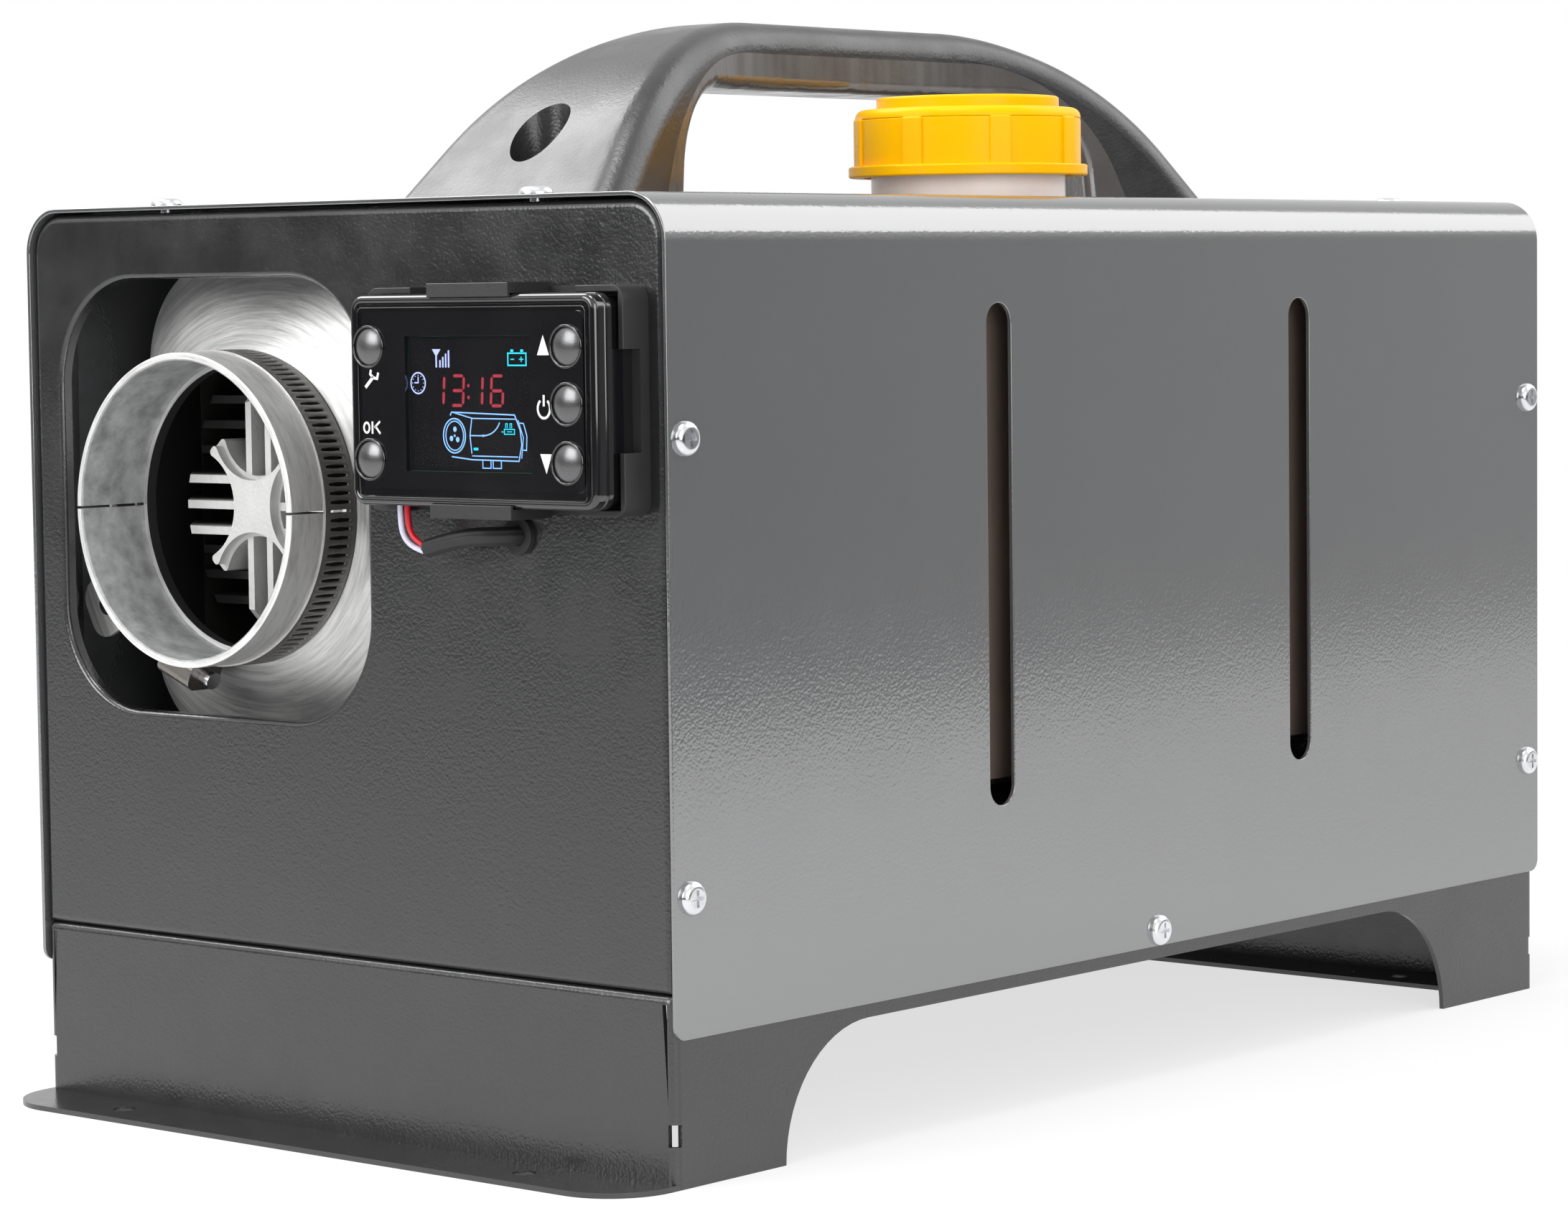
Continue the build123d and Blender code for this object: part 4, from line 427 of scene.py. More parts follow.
def waveInsert(material, wave):  # the lining of the grip is slightly wavy along its length
    tree = material.node_tree
    shader = tree.nodes["Principled BSDF"]
    along = addNode(tree, "ShaderNodeCombineXYZ")
    tree.links.new(placeParts(tree)[1], along.inputs[1])
    waves = addNode(tree, "ShaderNodeBump")
    waves.inputs["Distance"].default_value = wave["height"]
    tree.links.new(noiseOf(tree, along.outputs[0], wave["scale"], wave["detail"]),
                   waves.inputs["Height"])
    tree.links.new(shader.inputs["Normal"].links[0].from_socket, waves.inputs["Normal"])
    tree.links.new(waves.outputs[0], shader.inputs["Normal"])


fuelStain = {"below": 0.258, "color": (0.15, 0.115, 0.095, 1), "mottle": 0.1, "scale": 20.0}


def ageTank(material, fuel):  # fuel shows brown through the tank below its neck
    tree = material.node_tree
    low = calc(tree, "LESS_THAN", placeParts(tree)[2], fuel["below"])
    stain = useGroup(tree, toneGroup, Color=fuel["color"], Amount=fuel["mottle"],
                     Scale=fuel["scale"])
    blendInto(material, low, stain.outputs[0])


finishBoreAndShadeSeat(finishes["collar_metal"], collarBoreAndSeatShade)
shadeButton(finishes["button_metal"], buttonEdgeShade)
ageTank(finishes["tank_plastic"], fuelStain)

# finishes of single nodes, in place of their slot's
nodeFinishes = {
    "heat_exchanger": newFinish("exchangerCast", (0.72, 0.72, 0.71), tone=0.06, toneScale=60,
                                rough=(0.4, 0.6), grain=900, grainDepth=0.00012, Metallic=0.4),
    "outlet_hood": newFinish("hoodMetal", (0.78, 0.78, 0.77), tone=0.07, rough=(0.44, 0.56),
                             brushed=(1500, 4, 0.3), grainDepth=0.00007, Metallic=0.75),
    "clamp_band": newFinish("bandMetal", (0.44, 0.43, 0.42), tone=0.06, rough=(0.28, 0.4),
                            brushed=(1500, 8, 0.15), grainDepth=0.00004, Metallic=0.9),
    "clamp_housing": newFinish("housingMetal", (0.24, 0.225, 0.21), tone=0.1, toneScale=90,
                               rough=(0.25, 0.42), grain=900, grainDepth=0.00004, Metallic=0.9),
    "handle_insert": newFinish("insertPlastic", (0.085, 0.079, 0.075), tone=0.08,
                               rough=(0.16, 0.28), grain=700, grainDepth=0.00003, IOR=2.1),
    "controller_bracket": newFinish("bracketPlastic", (0.022, 0.022, 0.023), tone=0.05,
                                    rough=(0.42, 0.55), grain=1200, grainDepth=0.00004),
}
shadeHoodInside(nodeFinishes["outlet_hood"], hoodInnerShade)
waveInsert(nodeFinishes["handle_insert"], insertWaves)
shadeExchanger(nodeFinishes["heat_exchanger"], finShade)

for part in frame["record"]["subparts"]:
    for holder in nodes[part["node"]].material_slots:
        holder.material = nodeFinishes.get(part["node"], finishes[part["material_slot"]])


# building pieces
def newMesh(name, bm, material, smooth=True):
    mesh = bpy.data.meshes.new(name)
    bm.to_mesh(mesh)
    bm.free()
    mesh.materials.append(material)
    for face in mesh.polygons:
        face.use_smooth = smooth
    return mesh


def newPiece(name, bm, material, body="heater", smooth=True):
    piece = addObject(name, newMesh(name, bm, material, smooth))
    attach(piece, body)
    return piece


def gridOver(corner, along, up, columns, rows):  # a flat grid from its corner along two sides
    bm = bmesh.new()
    bmesh.ops.create_grid(bm, x_segments=columns, y_segments=rows, size=0.5)
    for vert in bm.verts:
        vert.co = corner + along * (vert.co.x + 0.5) + up * (vert.co.y + 0.5)
    return bm


def aroundDuct(turn, radius, depth):  # a point on a circle round the outlet's axis
    return Vector((heater["ductX"] + radius * math.cos(turn), depth,
                   heater["ductZ"] + radius * math.sin(turn)))


# worm clamp's band with its row of slots
clampBand = {
    "width": 0.012, "radius": 0.0446, "sheet": 0.0009, "rounding": 0.00018,
    "slots": 112, "slotLength": 0.0078, "slotWidth": 0.5, "corner": 0.35, "cornerEase": 0.9,
}


def makeClampBand(band):
    bm = bmesh.new()
    half = band["width"] / 2
    middle = heater["clampFront"] + half
    step = math.tau / band["slots"]
    corners = [(-1, -1), (0, -1), (1, -1), (1, 0), (1, 1), (0, 1), (-1, 1), (-1, 0)]
    rows = []
    for index in range(band["slots"]):
        centre = index * step
        outer, inner = [], []
        for u, v in corners:
            outer.append((centre + u * step / 2, middle + v * half))
            cut = 1 - band["corner"] if abs(u) + abs(v) == 2 else 1
            ease = band["cornerEase"] if cut < 1 else 1
            inner.append((centre + u * cut * step * band["slotWidth"] / 2,
                          middle + v * ease * band["slotLength"] / 2))
        rows.append((outer, inner))
    known = {}
    fine = 2000  # parts of a slot's pitch within which two places count as one

    def point(turn, depth):
        key = (round(turn % math.tau / step * fine) % (fine * band["slots"]),
               round(depth * 1e6))
        if key not in known:
            known[key] = bm.verts.new(aroundDuct(turn, band["radius"], depth))
        return known[key]

    for outer, inner in rows:
        rim = [point(*p) for p in outer]
        hole = [point(*p) for p in inner]
        for k in range(len(rim)):
            after = (k + 1) % len(rim)
            bm.faces.new((rim[k], rim[after], hole[after], hole[k]))
    bmesh.ops.recalc_face_normals(bm, faces=bm.faces)
    if bm.faces[0].normal.dot(bm.faces[0].calc_center_median() - aroundDuct(0, 0, middle)) < 0:
        bmesh.ops.reverse_faces(bm, faces=bm.faces)
    piece = newPiece("clampBandSlotted", bm, nodeFinishes["clamp_band"])
    thick = piece.modifiers.new("thickness", "SOLIDIFY")
    thick.thickness = band["sheet"]
    thick.offset = 1.0
    soft = piece.modifiers.new("rounding", "BEVEL")
    soft.width = band["rounding"]
    soft.segments = 2
    soft.limit_method = "ANGLE"
    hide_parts("clamp_band")


makeClampBand(clampBand)
print("clamp band built")


# leads and their sleeve
leads = {
    "lead_white": {"radius": 0.0008, "points": [
        (0.0378, -0.2244, 0.1818), (0.0378, -0.2244, 0.1754), (0.0393, -0.2244, 0.1713),
        (0.0430, -0.2244, 0.1688), (0.0474, -0.2244, 0.16795)]},
    "lead_blue": {"radius": 0.0008, "points": [
        (0.0392, -0.2229, 0.1818), (0.0392, -0.2229, 0.1760), (0.0406, -0.2229, 0.1721),
        (0.0436, -0.2229, 0.1697), (0.0472, -0.2229, 0.1688)]},
    "lead_red": {"radius": 0.0008, "points": [
        (0.0405, -0.2244, 0.1818), (0.0405, -0.2244, 0.1766), (0.0417, -0.2244, 0.1729),
        (0.0441, -0.2244, 0.1707), (0.0469, -0.2244, 0.16965)]},
    "lead_sleeve": {"radius": 0.0026, "ribs": 9, "ribDepth": 0.07, "points": [
        (0.0475, -0.2238, 0.1688), (0.0534, -0.2238, 0.1703), (0.0586, -0.2235, 0.1714),
        (0.0643, -0.2228, 0.1723), (0.0695, -0.2217, 0.1725), (0.0722, -0.2183, 0.1725),
        (0.0726, -0.2149, 0.1724), (0.0726, -0.2089, 0.1724)]},
}


def makeLead(node, lead):
    curve = bpy.data.curves.new(node + "Curve", "CURVE")
    curve.dimensions = "3D"
    curve.use_fill_caps = True
    curve.resolution_u = 12
    spline = curve.splines.new("NURBS")
    spline.points.add(len(lead["points"]) - 1)
    for knot, place in zip(spline.points, lead["points"]):
        knot.co = (*place, 1.0)
    spline.order_u = 3
    spline.use_endpoint_u = True
    if "ribs" in lead:  # the sleeve is ribbed lengthwise
        profile = bpy.data.curves.new(node + "Profile", "CURVE")
        profile.dimensions = "2D"
        outline = profile.splines.new("POLY")
        count = lead["ribs"] * 8  # eight points for each rib
        outline.points.add(count - 1)
        outline.use_cyclic_u = True
        for index, knot in enumerate(outline.points):
            turn = math.tau * index / count
            swell = 1 - lead["ribDepth"] * (0.5 - 0.5 * math.cos(turn * lead["ribs"]))
            knot.co = (lead["radius"] * swell * math.cos(turn),
                       lead["radius"] * swell * math.sin(turn), 0, 1)
        section = addObject(node + "Profile", profile)
        curve.bevel_mode = "OBJECT"
        curve.bevel_object = section
        bpy.context.view_layer.update()
    else:
        curve.bevel_depth = lead["radius"]
        curve.bevel_resolution = 6
    drawn = addObject(node + "Curve", curve)
    mesh = bpy.data.meshes.new_from_object(drawn.evaluated_get(
        bpy.context.evaluated_depsgraph_get()))
    bpy.data.objects.remove(drawn)
    if "ribs" in lead:
        bpy.data.objects.remove(section)
    words = node.split("_")
    piece = addObject(words[0] + words[1].capitalize(), mesh)
    slot = node if node in finishes else "rubber_black"
    mesh.materials.clear()
    mesh.materials.append(finishes[slot])
    for face in mesh.polygons:
        face.use_smooth = True
    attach(piece, "heater")
    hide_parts(node)


for node, lead in leads.items():
    makeLead(node, lead)
print("leads built")


# flat marks: printed signs and the lit signs of the display
def markStroke(bm, points, width, depth, thick, closed=False):  # a ribbon with mitred corners
    knots = [Vector(place) for place in points]
    count = len(knots)
    rims = []
    for k, knot in enumerate(knots):
        runIn = knot - knots[k - 1] if k or closed else knots[1] - knot
        runOut = knots[(k + 1) % count] - knot if k < count - 1 or closed else runIn
        runIn, runOut = runIn.normalized(), runOut.normalized()
        across = Vector((-(runIn + runOut).y, (runIn + runOut).x)).normalized()
        mitre = max(0.45, across.dot(Vector((-runIn.y, runIn.x))))  # sharp corners stay short
        reach = width / 2 / mitre
        rims.append([bm.verts.new((p.x * mm, y, p.y * mm))
                     for y in (depth, depth - thick)
                     for p in (knot + across * reach, knot - across * reach)])
    for k in range(count if closed else count - 1):
        a, b = rims[k], rims[(k + 1) % count]
        for i, j in ((0, 1), (3, 2), (2, 0), (1, 3)):
            bm.faces.new((a[i], a[j], b[j], b[i]))
    if not closed:
        for rim in (rims[0], rims[-1]):
            bm.faces.new((rim[0], rim[1], rim[3], rim[2]))


def markFill(bm, outline, depth, thick):
    lower = [bm.verts.new((x * mm, depth, z * mm)) for x, z in outline]
    upper = [bm.verts.new((x * mm, depth - thick, z * mm)) for x, z in outline]
    bm.faces.new(lower)
    bm.faces.new(list(reversed(upper)))
    count = len(outline)
    for k in range(count):
        bm.faces.new((lower[k], upper[k], upper[(k + 1) % count], lower[(k + 1) % count]))


def arcOf(x, z, rx, rz, start=0, end=360, steps=28):
    return [(x + rx * math.cos(math.radians(start + (end - start) * k / steps)),
             z + rz * math.sin(math.radians(start + (end - start) * k / steps)))
            for k in range(steps + 1)]


def litFinish(name, color, strength):
    material = newFinish(name, color, tone=0.08, toneScale=300, rough=(0.3, 0.4))
    tree = material.node_tree
    shader = tree.nodes["Principled BSDF"]
    glow = useGroup(tree, toneGroup, Color=(*color, 1.0), Amount=0.08, Scale=500.0)
    tree.links.new(glow.outputs[0], shader.inputs["Emission Color"])
    shader.inputs["Emission Strength"].default_value = strength
    return material


displayInk = {
    "paleBlue": litFinish("signPaleBlue", (0.38, 0.45, 0.85), 0.95),
    "skyBlue": litFinish("signSkyBlue", (0.20, 0.42, 0.85), 0.95),
    "cyan": litFinish("signCyan", (0.01, 0.52, 0.68), 0.95),
    "red": litFinish("signRed", (0.30, 0.018, 0.035), 0.8),
    "print": newFinish("signPrint", (0.72, 0.72, 0.72), tone=0.04, rough=(0.4, 0.5)),
}

display = {
    "plateDepth": -0.23042,
    "depth": -0.23045,  # lit signs lie just in front of the plate, under the window
    "thick": 0.00006,
    "printDepth": -0.2320,
    "stripes": 150.0,
    "span": (48.3, 94.7, 190.3, 226.3),
    "digits": "13:16",
    "digitPlaces": (56.7, 64.0, 71.0, 78.6),
    "colonAt": 70.4,
    "digitWidth": 4.3,
    "digitTop": 215.8,
    "digitHeight": 7.9,
    "lean": 0.06,
    "bar": 0.85,
}


def makeDisplayPlate(show):  # dark panel under the window, with its fine columns
    left, right, low, high = (value * mm for value in show["span"])
    bm = gridOver(Vector((left, show["plateDepth"], low)), Vector((right - left, 0, 0)),
                  Vector((0, 0, high - low)), 24, 18)
    panel = newFinish("displayPanel", (0.006, 0.006, 0.007), tone=0.05, rough=(0.12, 0.2))
    tree = panel.node_tree
    place = addNode(tree, "ShaderNodeTexCoord").outputs["Object"]
    stripes = addNode(tree, "ShaderNodeTexWave", bands_direction="X")
    stripes.inputs["Scale"].default_value = show["stripes"]
    tree.links.new(place, stripes.inputs["Vector"])
    blendInto(panel, calc(tree, "MULTIPLY", stripes.outputs[1], 0.2), (0.014, 0.012, 0.012, 1))
    newPiece("displayPlate", bm, panel, smooth=False)


def makeDisplayWindow():  # one clear sheet, flush with the front
    low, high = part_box("controller_lens")
    bm = gridOver(low, Vector((high.x - low.x, 0, 0)), Vector((0, 0, high.z - low.z)), 12, 8)
    piece = newPiece("displayWindow", bm, finishes["window"], smooth=False)
    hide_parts("controller_lens")


# segments a to f run clockwise from the top, and g is the middle one
segmentsOf = {"0": "abcdef", "1": "bc", "2": "abged", "3": "abgcd", "4": "fgbc", "5": "afgcd",
              "6": "afgedc", "7": "abc", "8": "abcdefg", "9": "abcdfg"}


def makeDigits(show):
    bm = bmesh.new()
    wide, high, bar = show["digitWidth"], show["digitHeight"], show["bar"]
    half = high / 2
    bars = {"a": ((0, high), (wide, high)), "b": ((wide, half), (wide, high)),
            "c": ((wide, 0), (wide, half)), "d": ((0, 0), (wide, 0)),
            "e": ((0, 0), (0, half)), "f": ((0, half), (0, high)),
            "g": ((0, half), (wide, half))}
    base = show["digitTop"] - high
    for sign, left in zip(show["digits"].replace(":", ""), show["digitPlaces"]):
        for key in segmentsOf[sign]:
            a, b = (Vector(end) for end in bars[key])
            run = (b - a).normalized()
            side = Vector((-run.y, run.x)) * bar / 2
            a, b = a + run * bar * 0.3, b - run * bar * 0.3
            shape = [a, a + run * bar / 2 + side, b - run * bar / 2 + side, b,
                     b - run * bar / 2 - side, a + run * bar / 2 - side]
            shape = [(left + p.x + p.y * show["lean"], base + p.y) for p in shape]
            markFill(bm, shape, show["depth"], show["thick"])
    for z in (base + high * 0.27, base + high * 0.67):
        markFill(bm, arcOf(show["colonAt"], z, 0.42, 0.5, steps=12)[:-1],
                 show["depth"], show["thick"])
    newPiece("displayDigits", bm, displayInk["red"], smooth=False)


def makeDisplaySigns(show):
    depth, thick = show["depth"], show["thick"]
    pale, sky, cyan = bmesh.new(), bmesh.new(), bmesh.new()

    def line(bm, points, width, closed=False):
        markStroke(bm, points, width, depth, thick, closed)

    def fill(bm, outline):
        markFill(bm, outline, depth, thick)

    # aerial and signal bars
    fill(pale, [(57.0, 222.9), (60.2, 222.9), (58.8, 221.2), (58.8, 218.0), (58.3, 218.0),
                (58.3, 221.2)])
    for k in range(4):
        x = 59.7 + 1.08 * k
        fill(pale, [(x, 218.0), (x + 0.5, 218.0), (x + 0.5, 220.0 + 0.88 * k),
                    (x, 219.9 + 0.88 * k)])
    # clock
    x, z = 51.6, 213.8
    line(pale, arcOf(x, z, 2.7, 2.8)[:-1], 0.38, closed=True)
    for spotX, spotZ in arcOf(x, z, 2.1, 2.1, steps=12)[:-1]:
        fill(pale, arcOf(spotX, spotZ, 0.15, 0.15, steps=6)[:-1])
    line(pale, [(x - 1.4, z + 0.1), (x, z + 0.1), (x, z + 1.7)], 0.34)
    # heater unit: fan end, case with its outline, flow line, end cap and two pipes
    line(sky, arcOf(64.9, 199.8, 4.1, 4.6)[:-1], 0.36, closed=True)
    line(sky, arcOf(65.0, 199.8, 3.3, 3.9)[:-1], 0.3, closed=True)
    for bladeX, bladeZ in arcOf(65.0, 199.8, 1.35, 1.75, 85, 445, 3)[:-1]:
        fill(sky, arcOf(bladeX, bladeZ, 0.62, 0.72, steps=14)[:-1])
    fill(sky, arcOf(65.0, 199.8, 0.32, 0.36, steps=10)[:-1])
    line(sky, [(63.4, 205.2), (64.0, 206.1), (87.2, 205.5), (89.2, 201.5), (89.7, 197.6),
               (88.6, 193.3), (71.4, 193.5), (63.8, 194.2)], 0.34)
    line(sky, [(64.6, 206.0), (71.6, 204.5), (87.4, 204.4)], 0.3)
    line(sky, [(71.4, 204.3), (70.7, 199.9), (71.3, 195.1)], 0.3)
    line(sky, [(71.4, 194.5), (88.3, 194.4)], 0.3)
    line(sky, [(70.9, 199.9), (75.4, 199.9)] + arcOf(75.4, 205.1, 6.6, 5.2, -90, -18, 10), 0.32)
    line(sky, [(89.0, 203.4), (90.4, 203.3), (91.6, 200.0), (91.4, 196.2), (90.2, 196.3)], 0.3)
    line(sky, [(88.4, 204.2), (90.3, 199.6), (89.6, 194.0)], 0.26)
    for x in (75.3, 79.1):
        line(sky, [(x, 193.3), (x, 191.3), (x + 3.0, 191.3), (x + 3.0, 193.3)], 0.3)
    # battery, glow plug and pump
    line(cyan, [(85.1, 221.8), (91.7, 221.8), (91.7, 218.6), (85.1, 218.6)], 0.4, closed=True)
    for x in (86.6, 90.2):
        fill(cyan, [(x - 0.5, 222.1), (x + 0.5, 222.1), (x + 0.5, 222.8), (x - 0.5, 222.8)])
    line(cyan, [(86.1, 220.2), (87.4, 220.2)], 0.3)
    line(cyan, [(89.2, 220.2), (90.7, 220.2)], 0.3)
    line(cyan, [(89.95, 219.5), (89.95, 220.0)], 0.3)
    line(cyan, [(89.95, 220.4), (89.95, 220.9)], 0.3)
    line(cyan, [(83.4, 201.7), (87.1, 201.7), (87.1, 200.4), (83.4, 200.4)], 0.26, closed=True)
    line(cyan, [(84.4, 201.05), (86.2, 201.05)], 0.22)
    for x in (84.2, 85.8):
        line(cyan, [(x - 0.3, 202.0), (x - 0.3, 203.2), (x + 0.3, 203.2), (x + 0.3, 202.0)], 0.22)
    line(cyan, [(82.4, 201.0), (83.1, 201.0)], 0.26)
    fill(cyan, [(72.0, 196.0), (73.7, 196.0), (73.7, 196.7), (72.0, 196.7)])
    newPiece("displaySigns", pale, displayInk["paleBlue"], smooth=False)
    newPiece("displaySignsHeater", sky, displayInk["skyBlue"], smooth=False)
    newPiece("displaySignsCyan", cyan, displayInk["cyan"], smooth=False)


def makePrintedSigns(show):
    bm = bmesh.new()
    depth, thick = show["printDepth"], show["thick"]

    def line(points, width, closed=False):
        markStroke(bm, points, width, depth, thick, closed)

    # up, down and power
    markFill(bm, [(97.2, 221.3), (101.5, 221.3), (99.35, 226.6)], depth, thick)
    markFill(bm, [(97.8, 195.4), (102.0, 195.4), (100.0, 190.2)], depth, thick)
    line(arcOf(99.35, 207.3, 2.2, 2.5, 125, 415, 28), 0.68)
    line([(99.35, 207.9), (99.35, 210.9)], 0.68)
    # OK
    line(arcOf(33.2, 201.7, 1.05, 1.35)[:-1], 0.6, closed=True)
    line([(35.4, 200.05), (35.4, 203.4)], 0.62)
    line([(38.3, 203.4), (36.2, 201.75)], 0.6)
    line([(36.55, 202.1), (38.4, 200.1)], 0.6)
    # spanner
    line([(33.0, 212.6), (36.0, 215.4)], 0.95)
    line([(36.0, 215.3), (34.9, 216.2), (35.2, 217.4)], 0.75)
    line([(36.2, 215.2), (37.5, 215.0), (38.0, 216.6)], 0.75)
    newPiece("printedSigns", bm, displayInk["print"], smooth=False)


makeDisplayPlate(display)
makeDisplayWindow()
makeDigits(display)
makeDisplaySigns(display)
makePrintedSigns(display)
print("display and printed signs built")


# rings round the buttons, and the rounded edges of the controller's front
buttons = {
    "places": {"Up": (107.7, 223.6), "Power": (107.7, 208.5), "Down": (107.7, 193.1),
               "Settings": (34.5, 223.6), "Ok": (34.5, 193.1)},
    "ringDepth": -0.2324, "ringRadius": 5.48, "ringBar": 0.34,
    "crown": 0.0016, "domeTilt": math.radians(62.0), "sides": 48, "steps": 10,
}
bezelEdges = {
    "bezelFrontEdge": {"span": (28.6, 116.6, 182.1, 236.1), "corner": 3.0, "depth": -0.2308,
                       "bar": 1.4},
    "bezelSideRidge": {"span": (27.9, 117.3, 181.4, 236.8), "corner": 3.4, "depth": -0.2278,
                       "bar": 0.85},
    "bezelHairline": {"span": (30.2, 114.3, 183.0, 234.1), "corner": 1.4, "depth": -0.23195,
                      "bar": 0.16},
}


def roundedLoop(span, corner, steps=8):
    left, right, low, high = span
    loop = []
    for x, z, start in ((right - corner, high - corner, 0), (left + corner, high - corner, 90),
                        (left + corner, low + corner, 180), (right - corner, low + corner, 270)):
        loop += arcOf(x, z, corner, corner, start, start + 90, steps)
    return loop


def joinRings(bm, ring, other):
    for j in range(len(ring)):
        after = (j + 1) % len(ring)
        bm.faces.new((ring[j], other[j], other[after], ring[after]))


def makeBead(name, loop, depth, bar, sides=14):  # a round bar along a closed loop
    bm = bmesh.new()
    knots = [Vector(place) for place in loop]
    rings = []
    for k, knot in enumerate(knots):
        run = (knots[(k + 1) % len(knots)] - knots[k - 1]).normalized()
        out = Vector((run.y, -run.x))
        ring = []
        for j in range(sides):
            tilt = math.tau * j / sides
            place = knot + out * bar * math.cos(tilt)
            ring.append(bm.verts.new((place.x * mm, depth - bar * mm * math.sin(tilt),
                                      place.y * mm)))
        rings.append(ring)
    for k, ring in enumerate(rings):
        joinRings(bm, ring, rings[(k + 1) % len(rings)])
    bmesh.ops.recalc_face_normals(bm, faces=bm.faces)
    newPiece(name, bm, finishes["control_plastic"])


def makeButton(key, shape):  # a satin dome on its own body
    node = "button_" + key.lower()
    low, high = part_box(node)
    x, z = (low.x + high.x) / 2, (low.z + high.z) / 2
    radius, full, sides = (high.x - low.x) / 2, shape["domeTilt"], shape["sides"]
    profile = []
    for k in range(1, shape["steps"] + 1):
        tilt = full * k / shape["steps"]
        drop = (1 - math.cos(tilt)) / (1 - math.cos(full))
        profile.append((radius * math.sin(tilt) / math.sin(full),
                        low.y + shape["crown"] * drop))
    profile.append((radius, high.y))
    bm = bmesh.new()
    tip = bm.verts.new((x, low.y, z))
    turns = [math.tau * j / sides for j in range(sides)]
    rings = [[bm.verts.new((x + r * math.cos(turn), y, z + r * math.sin(turn)))
              for turn in turns] for r, y in profile]
    for j in range(sides):
        bm.faces.new((tip, rings[0][j], rings[0][(j + 1) % sides]))
    for ring, other in zip(rings, rings[1:]):
        joinRings(bm, ring, other)
    bm.faces.new(list(reversed(rings[-1])))
    bmesh.ops.recalc_face_normals(bm, faces=bm.faces)
    piece = newPiece("buttonDome" + key, bm, finishes["button_metal"],
                     body=node)
    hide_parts(node)


for key, (x, z) in buttons["places"].items():
    ring = arcOf(x, z, buttons["ringRadius"], buttons["ringRadius"], steps=56)[:-1]
    makeBead("buttonRing" + key, ring, buttons["ringDepth"], buttons["ringBar"])
    makeButton(key, buttons)
for name, edge in bezelEdges.items():
    makeBead(name, roundedLoop(edge["span"], edge["corner"]), edge["depth"], edge["bar"])
print("buttons, their rings and controller edges built")


# floor, world and lamps
studio = {
    "floorFrom": (-6.0, -1.8), "floorTo": (0.98, 6.0),
    "floorColor": (0.9, 0.9, 0.9), "floorShow": 0.7, "showNear": 0.35, "showFar": 1.1,
    "fill": 0.55, "back": 1.0, "dim": 0.05, "high": 0.85,
    "backWay": (-0.648, 0.762, 0.0), "backRamp": (-0.02, 0.85), "highRamp": (0.03, 0.25),
    "aim": (0, 0, 0.15),
}


def makeFloor(room):
    low, high = Vector((*room["floorFrom"], 0)), Vector((*room["floorTo"], 0))
    bm = gridOver(low, Vector((high.x - low.x, 0, 0)), Vector((0, high.y - low.y, 0)), 24, 24)
    paper = newFinish("floorPaper", room["floorColor"], tone=0.01, toneScale=3,
                      rough=(0.8, 0.9), Specular_IOR_Level=0.1)
    tree = paper.node_tree
    shader = tree.nodes["Principled BSDF"]
    rays = addNode(tree, "ShaderNodeLightPath")
    seen = calc(tree, "MAXIMUM", rays.outputs["Is Camera Ray"], rays.outputs["Is Glossy Ray"])
    seen = calc(tree, "MAXIMUM", seen, rays.outputs["Is Transmission Ray"])
    white = addNode(tree, "ShaderNodeEmission")
    white.inputs["Strength"].default_value = 1.0
    mixed = addNode(tree, "ShaderNodeMixShader")
    away = addNode(tree, "ShaderNodeVectorMath", operation="LENGTH")
    tree.links.new(addNode(tree, "ShaderNodeTexCoord").outputs["Object"], away.inputs[0])
    spread = rangeOf(tree, away.outputs["Value"], room["showNear"], room["showFar"],
                     room["floorShow"])
    tree.links.new(calc(tree, "MULTIPLY", seen, spread.outputs[0]), mixed.inputs[0])
    tree.links.new(shader.outputs[0], mixed.inputs[1])
    tree.links.new(white.outputs[0], mixed.inputs[2])
    tree.links.new(mixed.outputs[0], tree.nodes["Material Output"].inputs["Surface"])
    addObject("studioFloor", newMesh("studioFloor", bm, paper, smooth=False))


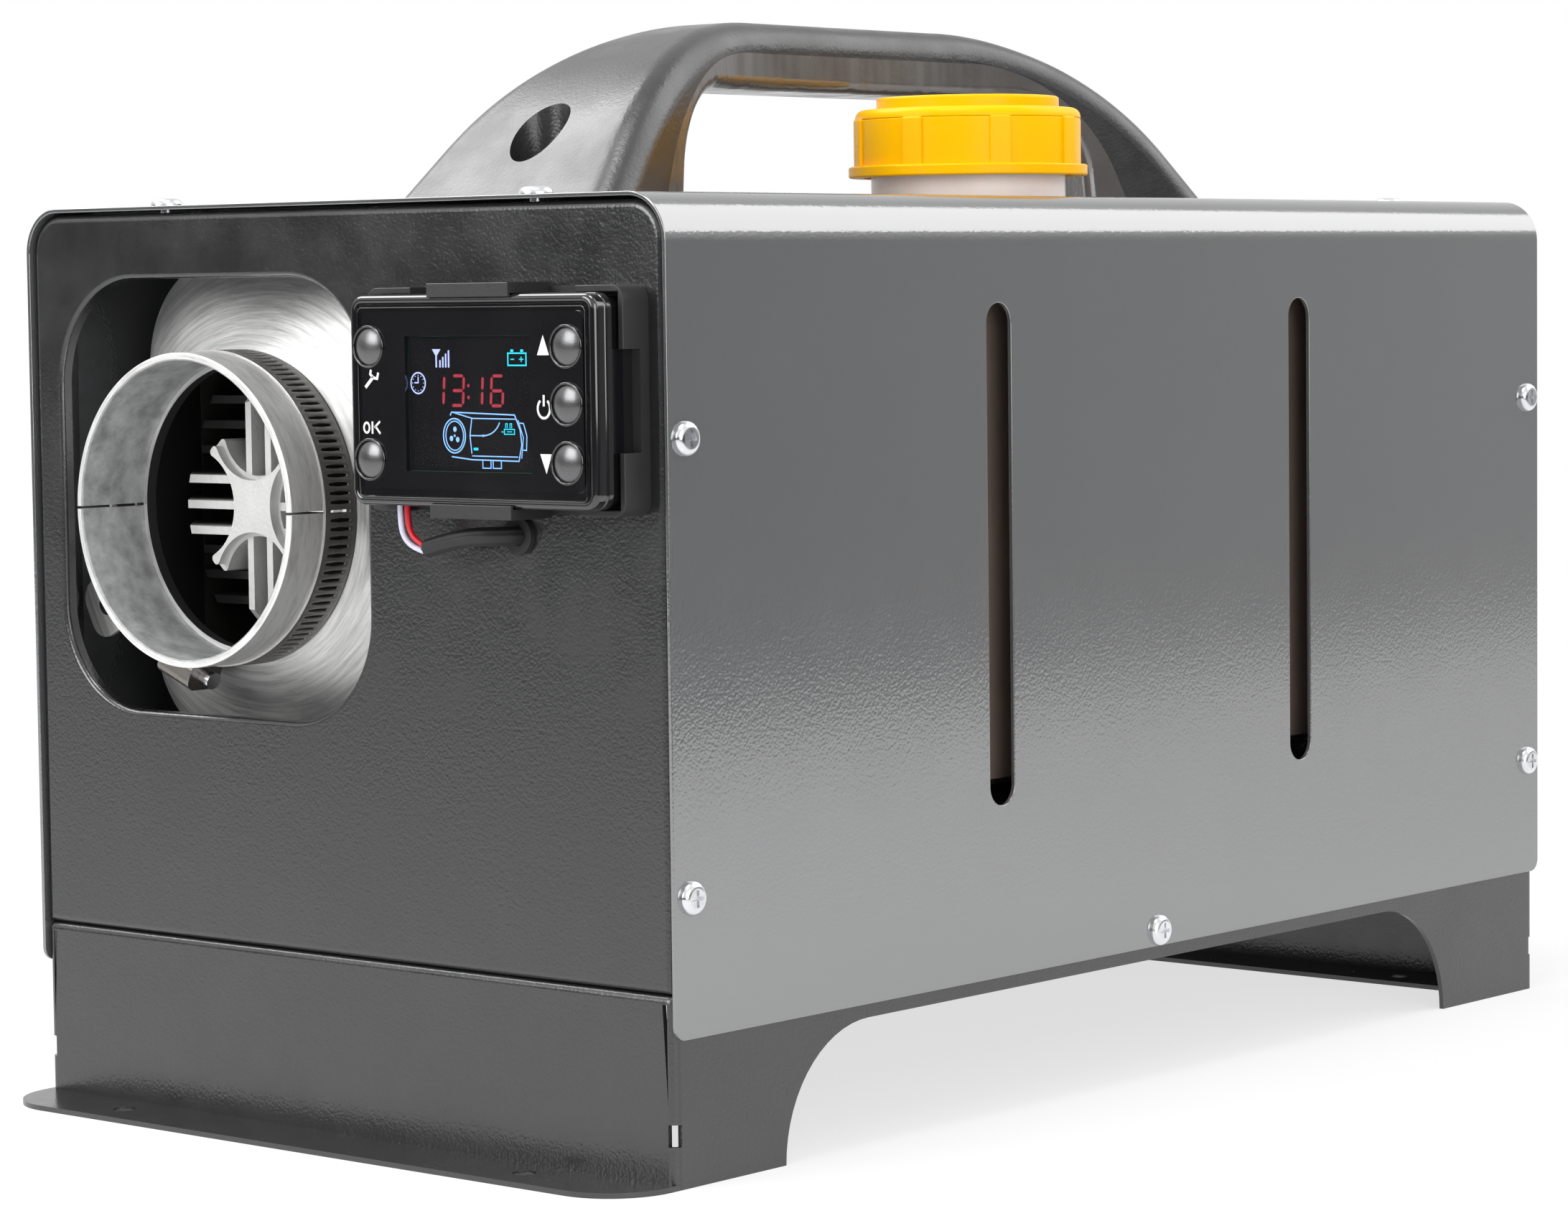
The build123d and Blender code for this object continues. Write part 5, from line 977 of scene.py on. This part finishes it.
def makeWorld(room):
    world = bpy.data.worlds.new("studioWorld")
    bpy.context.scene.world = world
    world.use_nodes = True
    tree = world.node_tree
    out = tree.nodes["Background"]
    rays = addNode(tree, "ShaderNodeLightPath")
    way = addNode(tree, "ShaderNodeTexCoord").outputs["Generated"]
    toward = addNode(tree, "ShaderNodeVectorMath", operation="DOT_PRODUCT")
    tree.links.new(way, toward.inputs[0])
    toward.inputs[1].default_value = room["backWay"]
    ramp = rangeOf(tree, toward.outputs["Value"], *room["backRamp"], room["dim"],
                   room["back"], "LINEAR")
    # mirror rays see the white backdrop behind the heater and the dim room around it
    level = addNode(tree, "ShaderNodeMix", data_type="FLOAT")
    level.inputs[2].default_value = room["fill"]
    parts = addNode(tree, "ShaderNodeSeparateXYZ")
    tree.links.new(way, parts.inputs[0])
    upper = rangeOf(tree, parts.outputs[2], *room["highRamp"], top=room["high"])
    tree.links.new(calc(tree, "MAXIMUM", ramp.outputs[0], upper.outputs[0]), level.inputs[3])
    tree.links.new(rays.outputs["Is Glossy Ray"], level.inputs[0])
    shown = addNode(tree, "ShaderNodeMix", data_type="FLOAT")
    clear = calc(tree, "MAXIMUM", rays.outputs["Is Camera Ray"],
                 rays.outputs["Is Transmission Ray"])
    tree.links.new(clear, shown.inputs[0])
    tree.links.new(level.outputs[0], shown.inputs[2])
    shown.inputs[3].default_value = 1.0
    tree.links.new(shown.outputs[0], out.inputs["Strength"])
    out.inputs["Color"].default_value = (1, 1, 1, 1)


lamps = {
    "leftSoftbox": {"place": (-1.55, -0.25, 1.95), "size": (1.4, 1.4), "power": 34.0},
    "backSoftbox": {"place": (1.15, 1.95, 1.85), "size": (2.2, 2.2), "power": 31.0},
    "frontSoftbox": {"place": (-0.85, -2.25, 1.05), "size": (1.4, 1.2), "power": 26.0},
    "sideSoftbox": {"place": (2.3, -1.0, 0.75), "size": (1.8, 1.4), "power": 24.0},
    "topSoftbox": {"place": (0.2, -0.5, 1.7), "size": (0.6, 0.6), "power": 12.0},
}


def makeLamp(name, lamp):
    data = bpy.data.lights.new(name, "AREA")
    data.shape = "RECTANGLE"
    data.size, data.size_y = lamp["size"]
    data.energy = lamp["power"]
    light = addObject(name, data)
    light.location = lamp["place"]
    aim = Vector(studio["aim"]) - Vector(lamp["place"])
    light.rotation_euler = aim.to_track_quat("-Z", "Y").to_euler()
    light.visible_camera = False


makeFloor(studio)
makeWorld(studio)
for name, lamp in lamps.items():
    makeLamp(name, lamp)
bpy.context.scene.view_settings.view_transform = "Standard"
print("studio built")
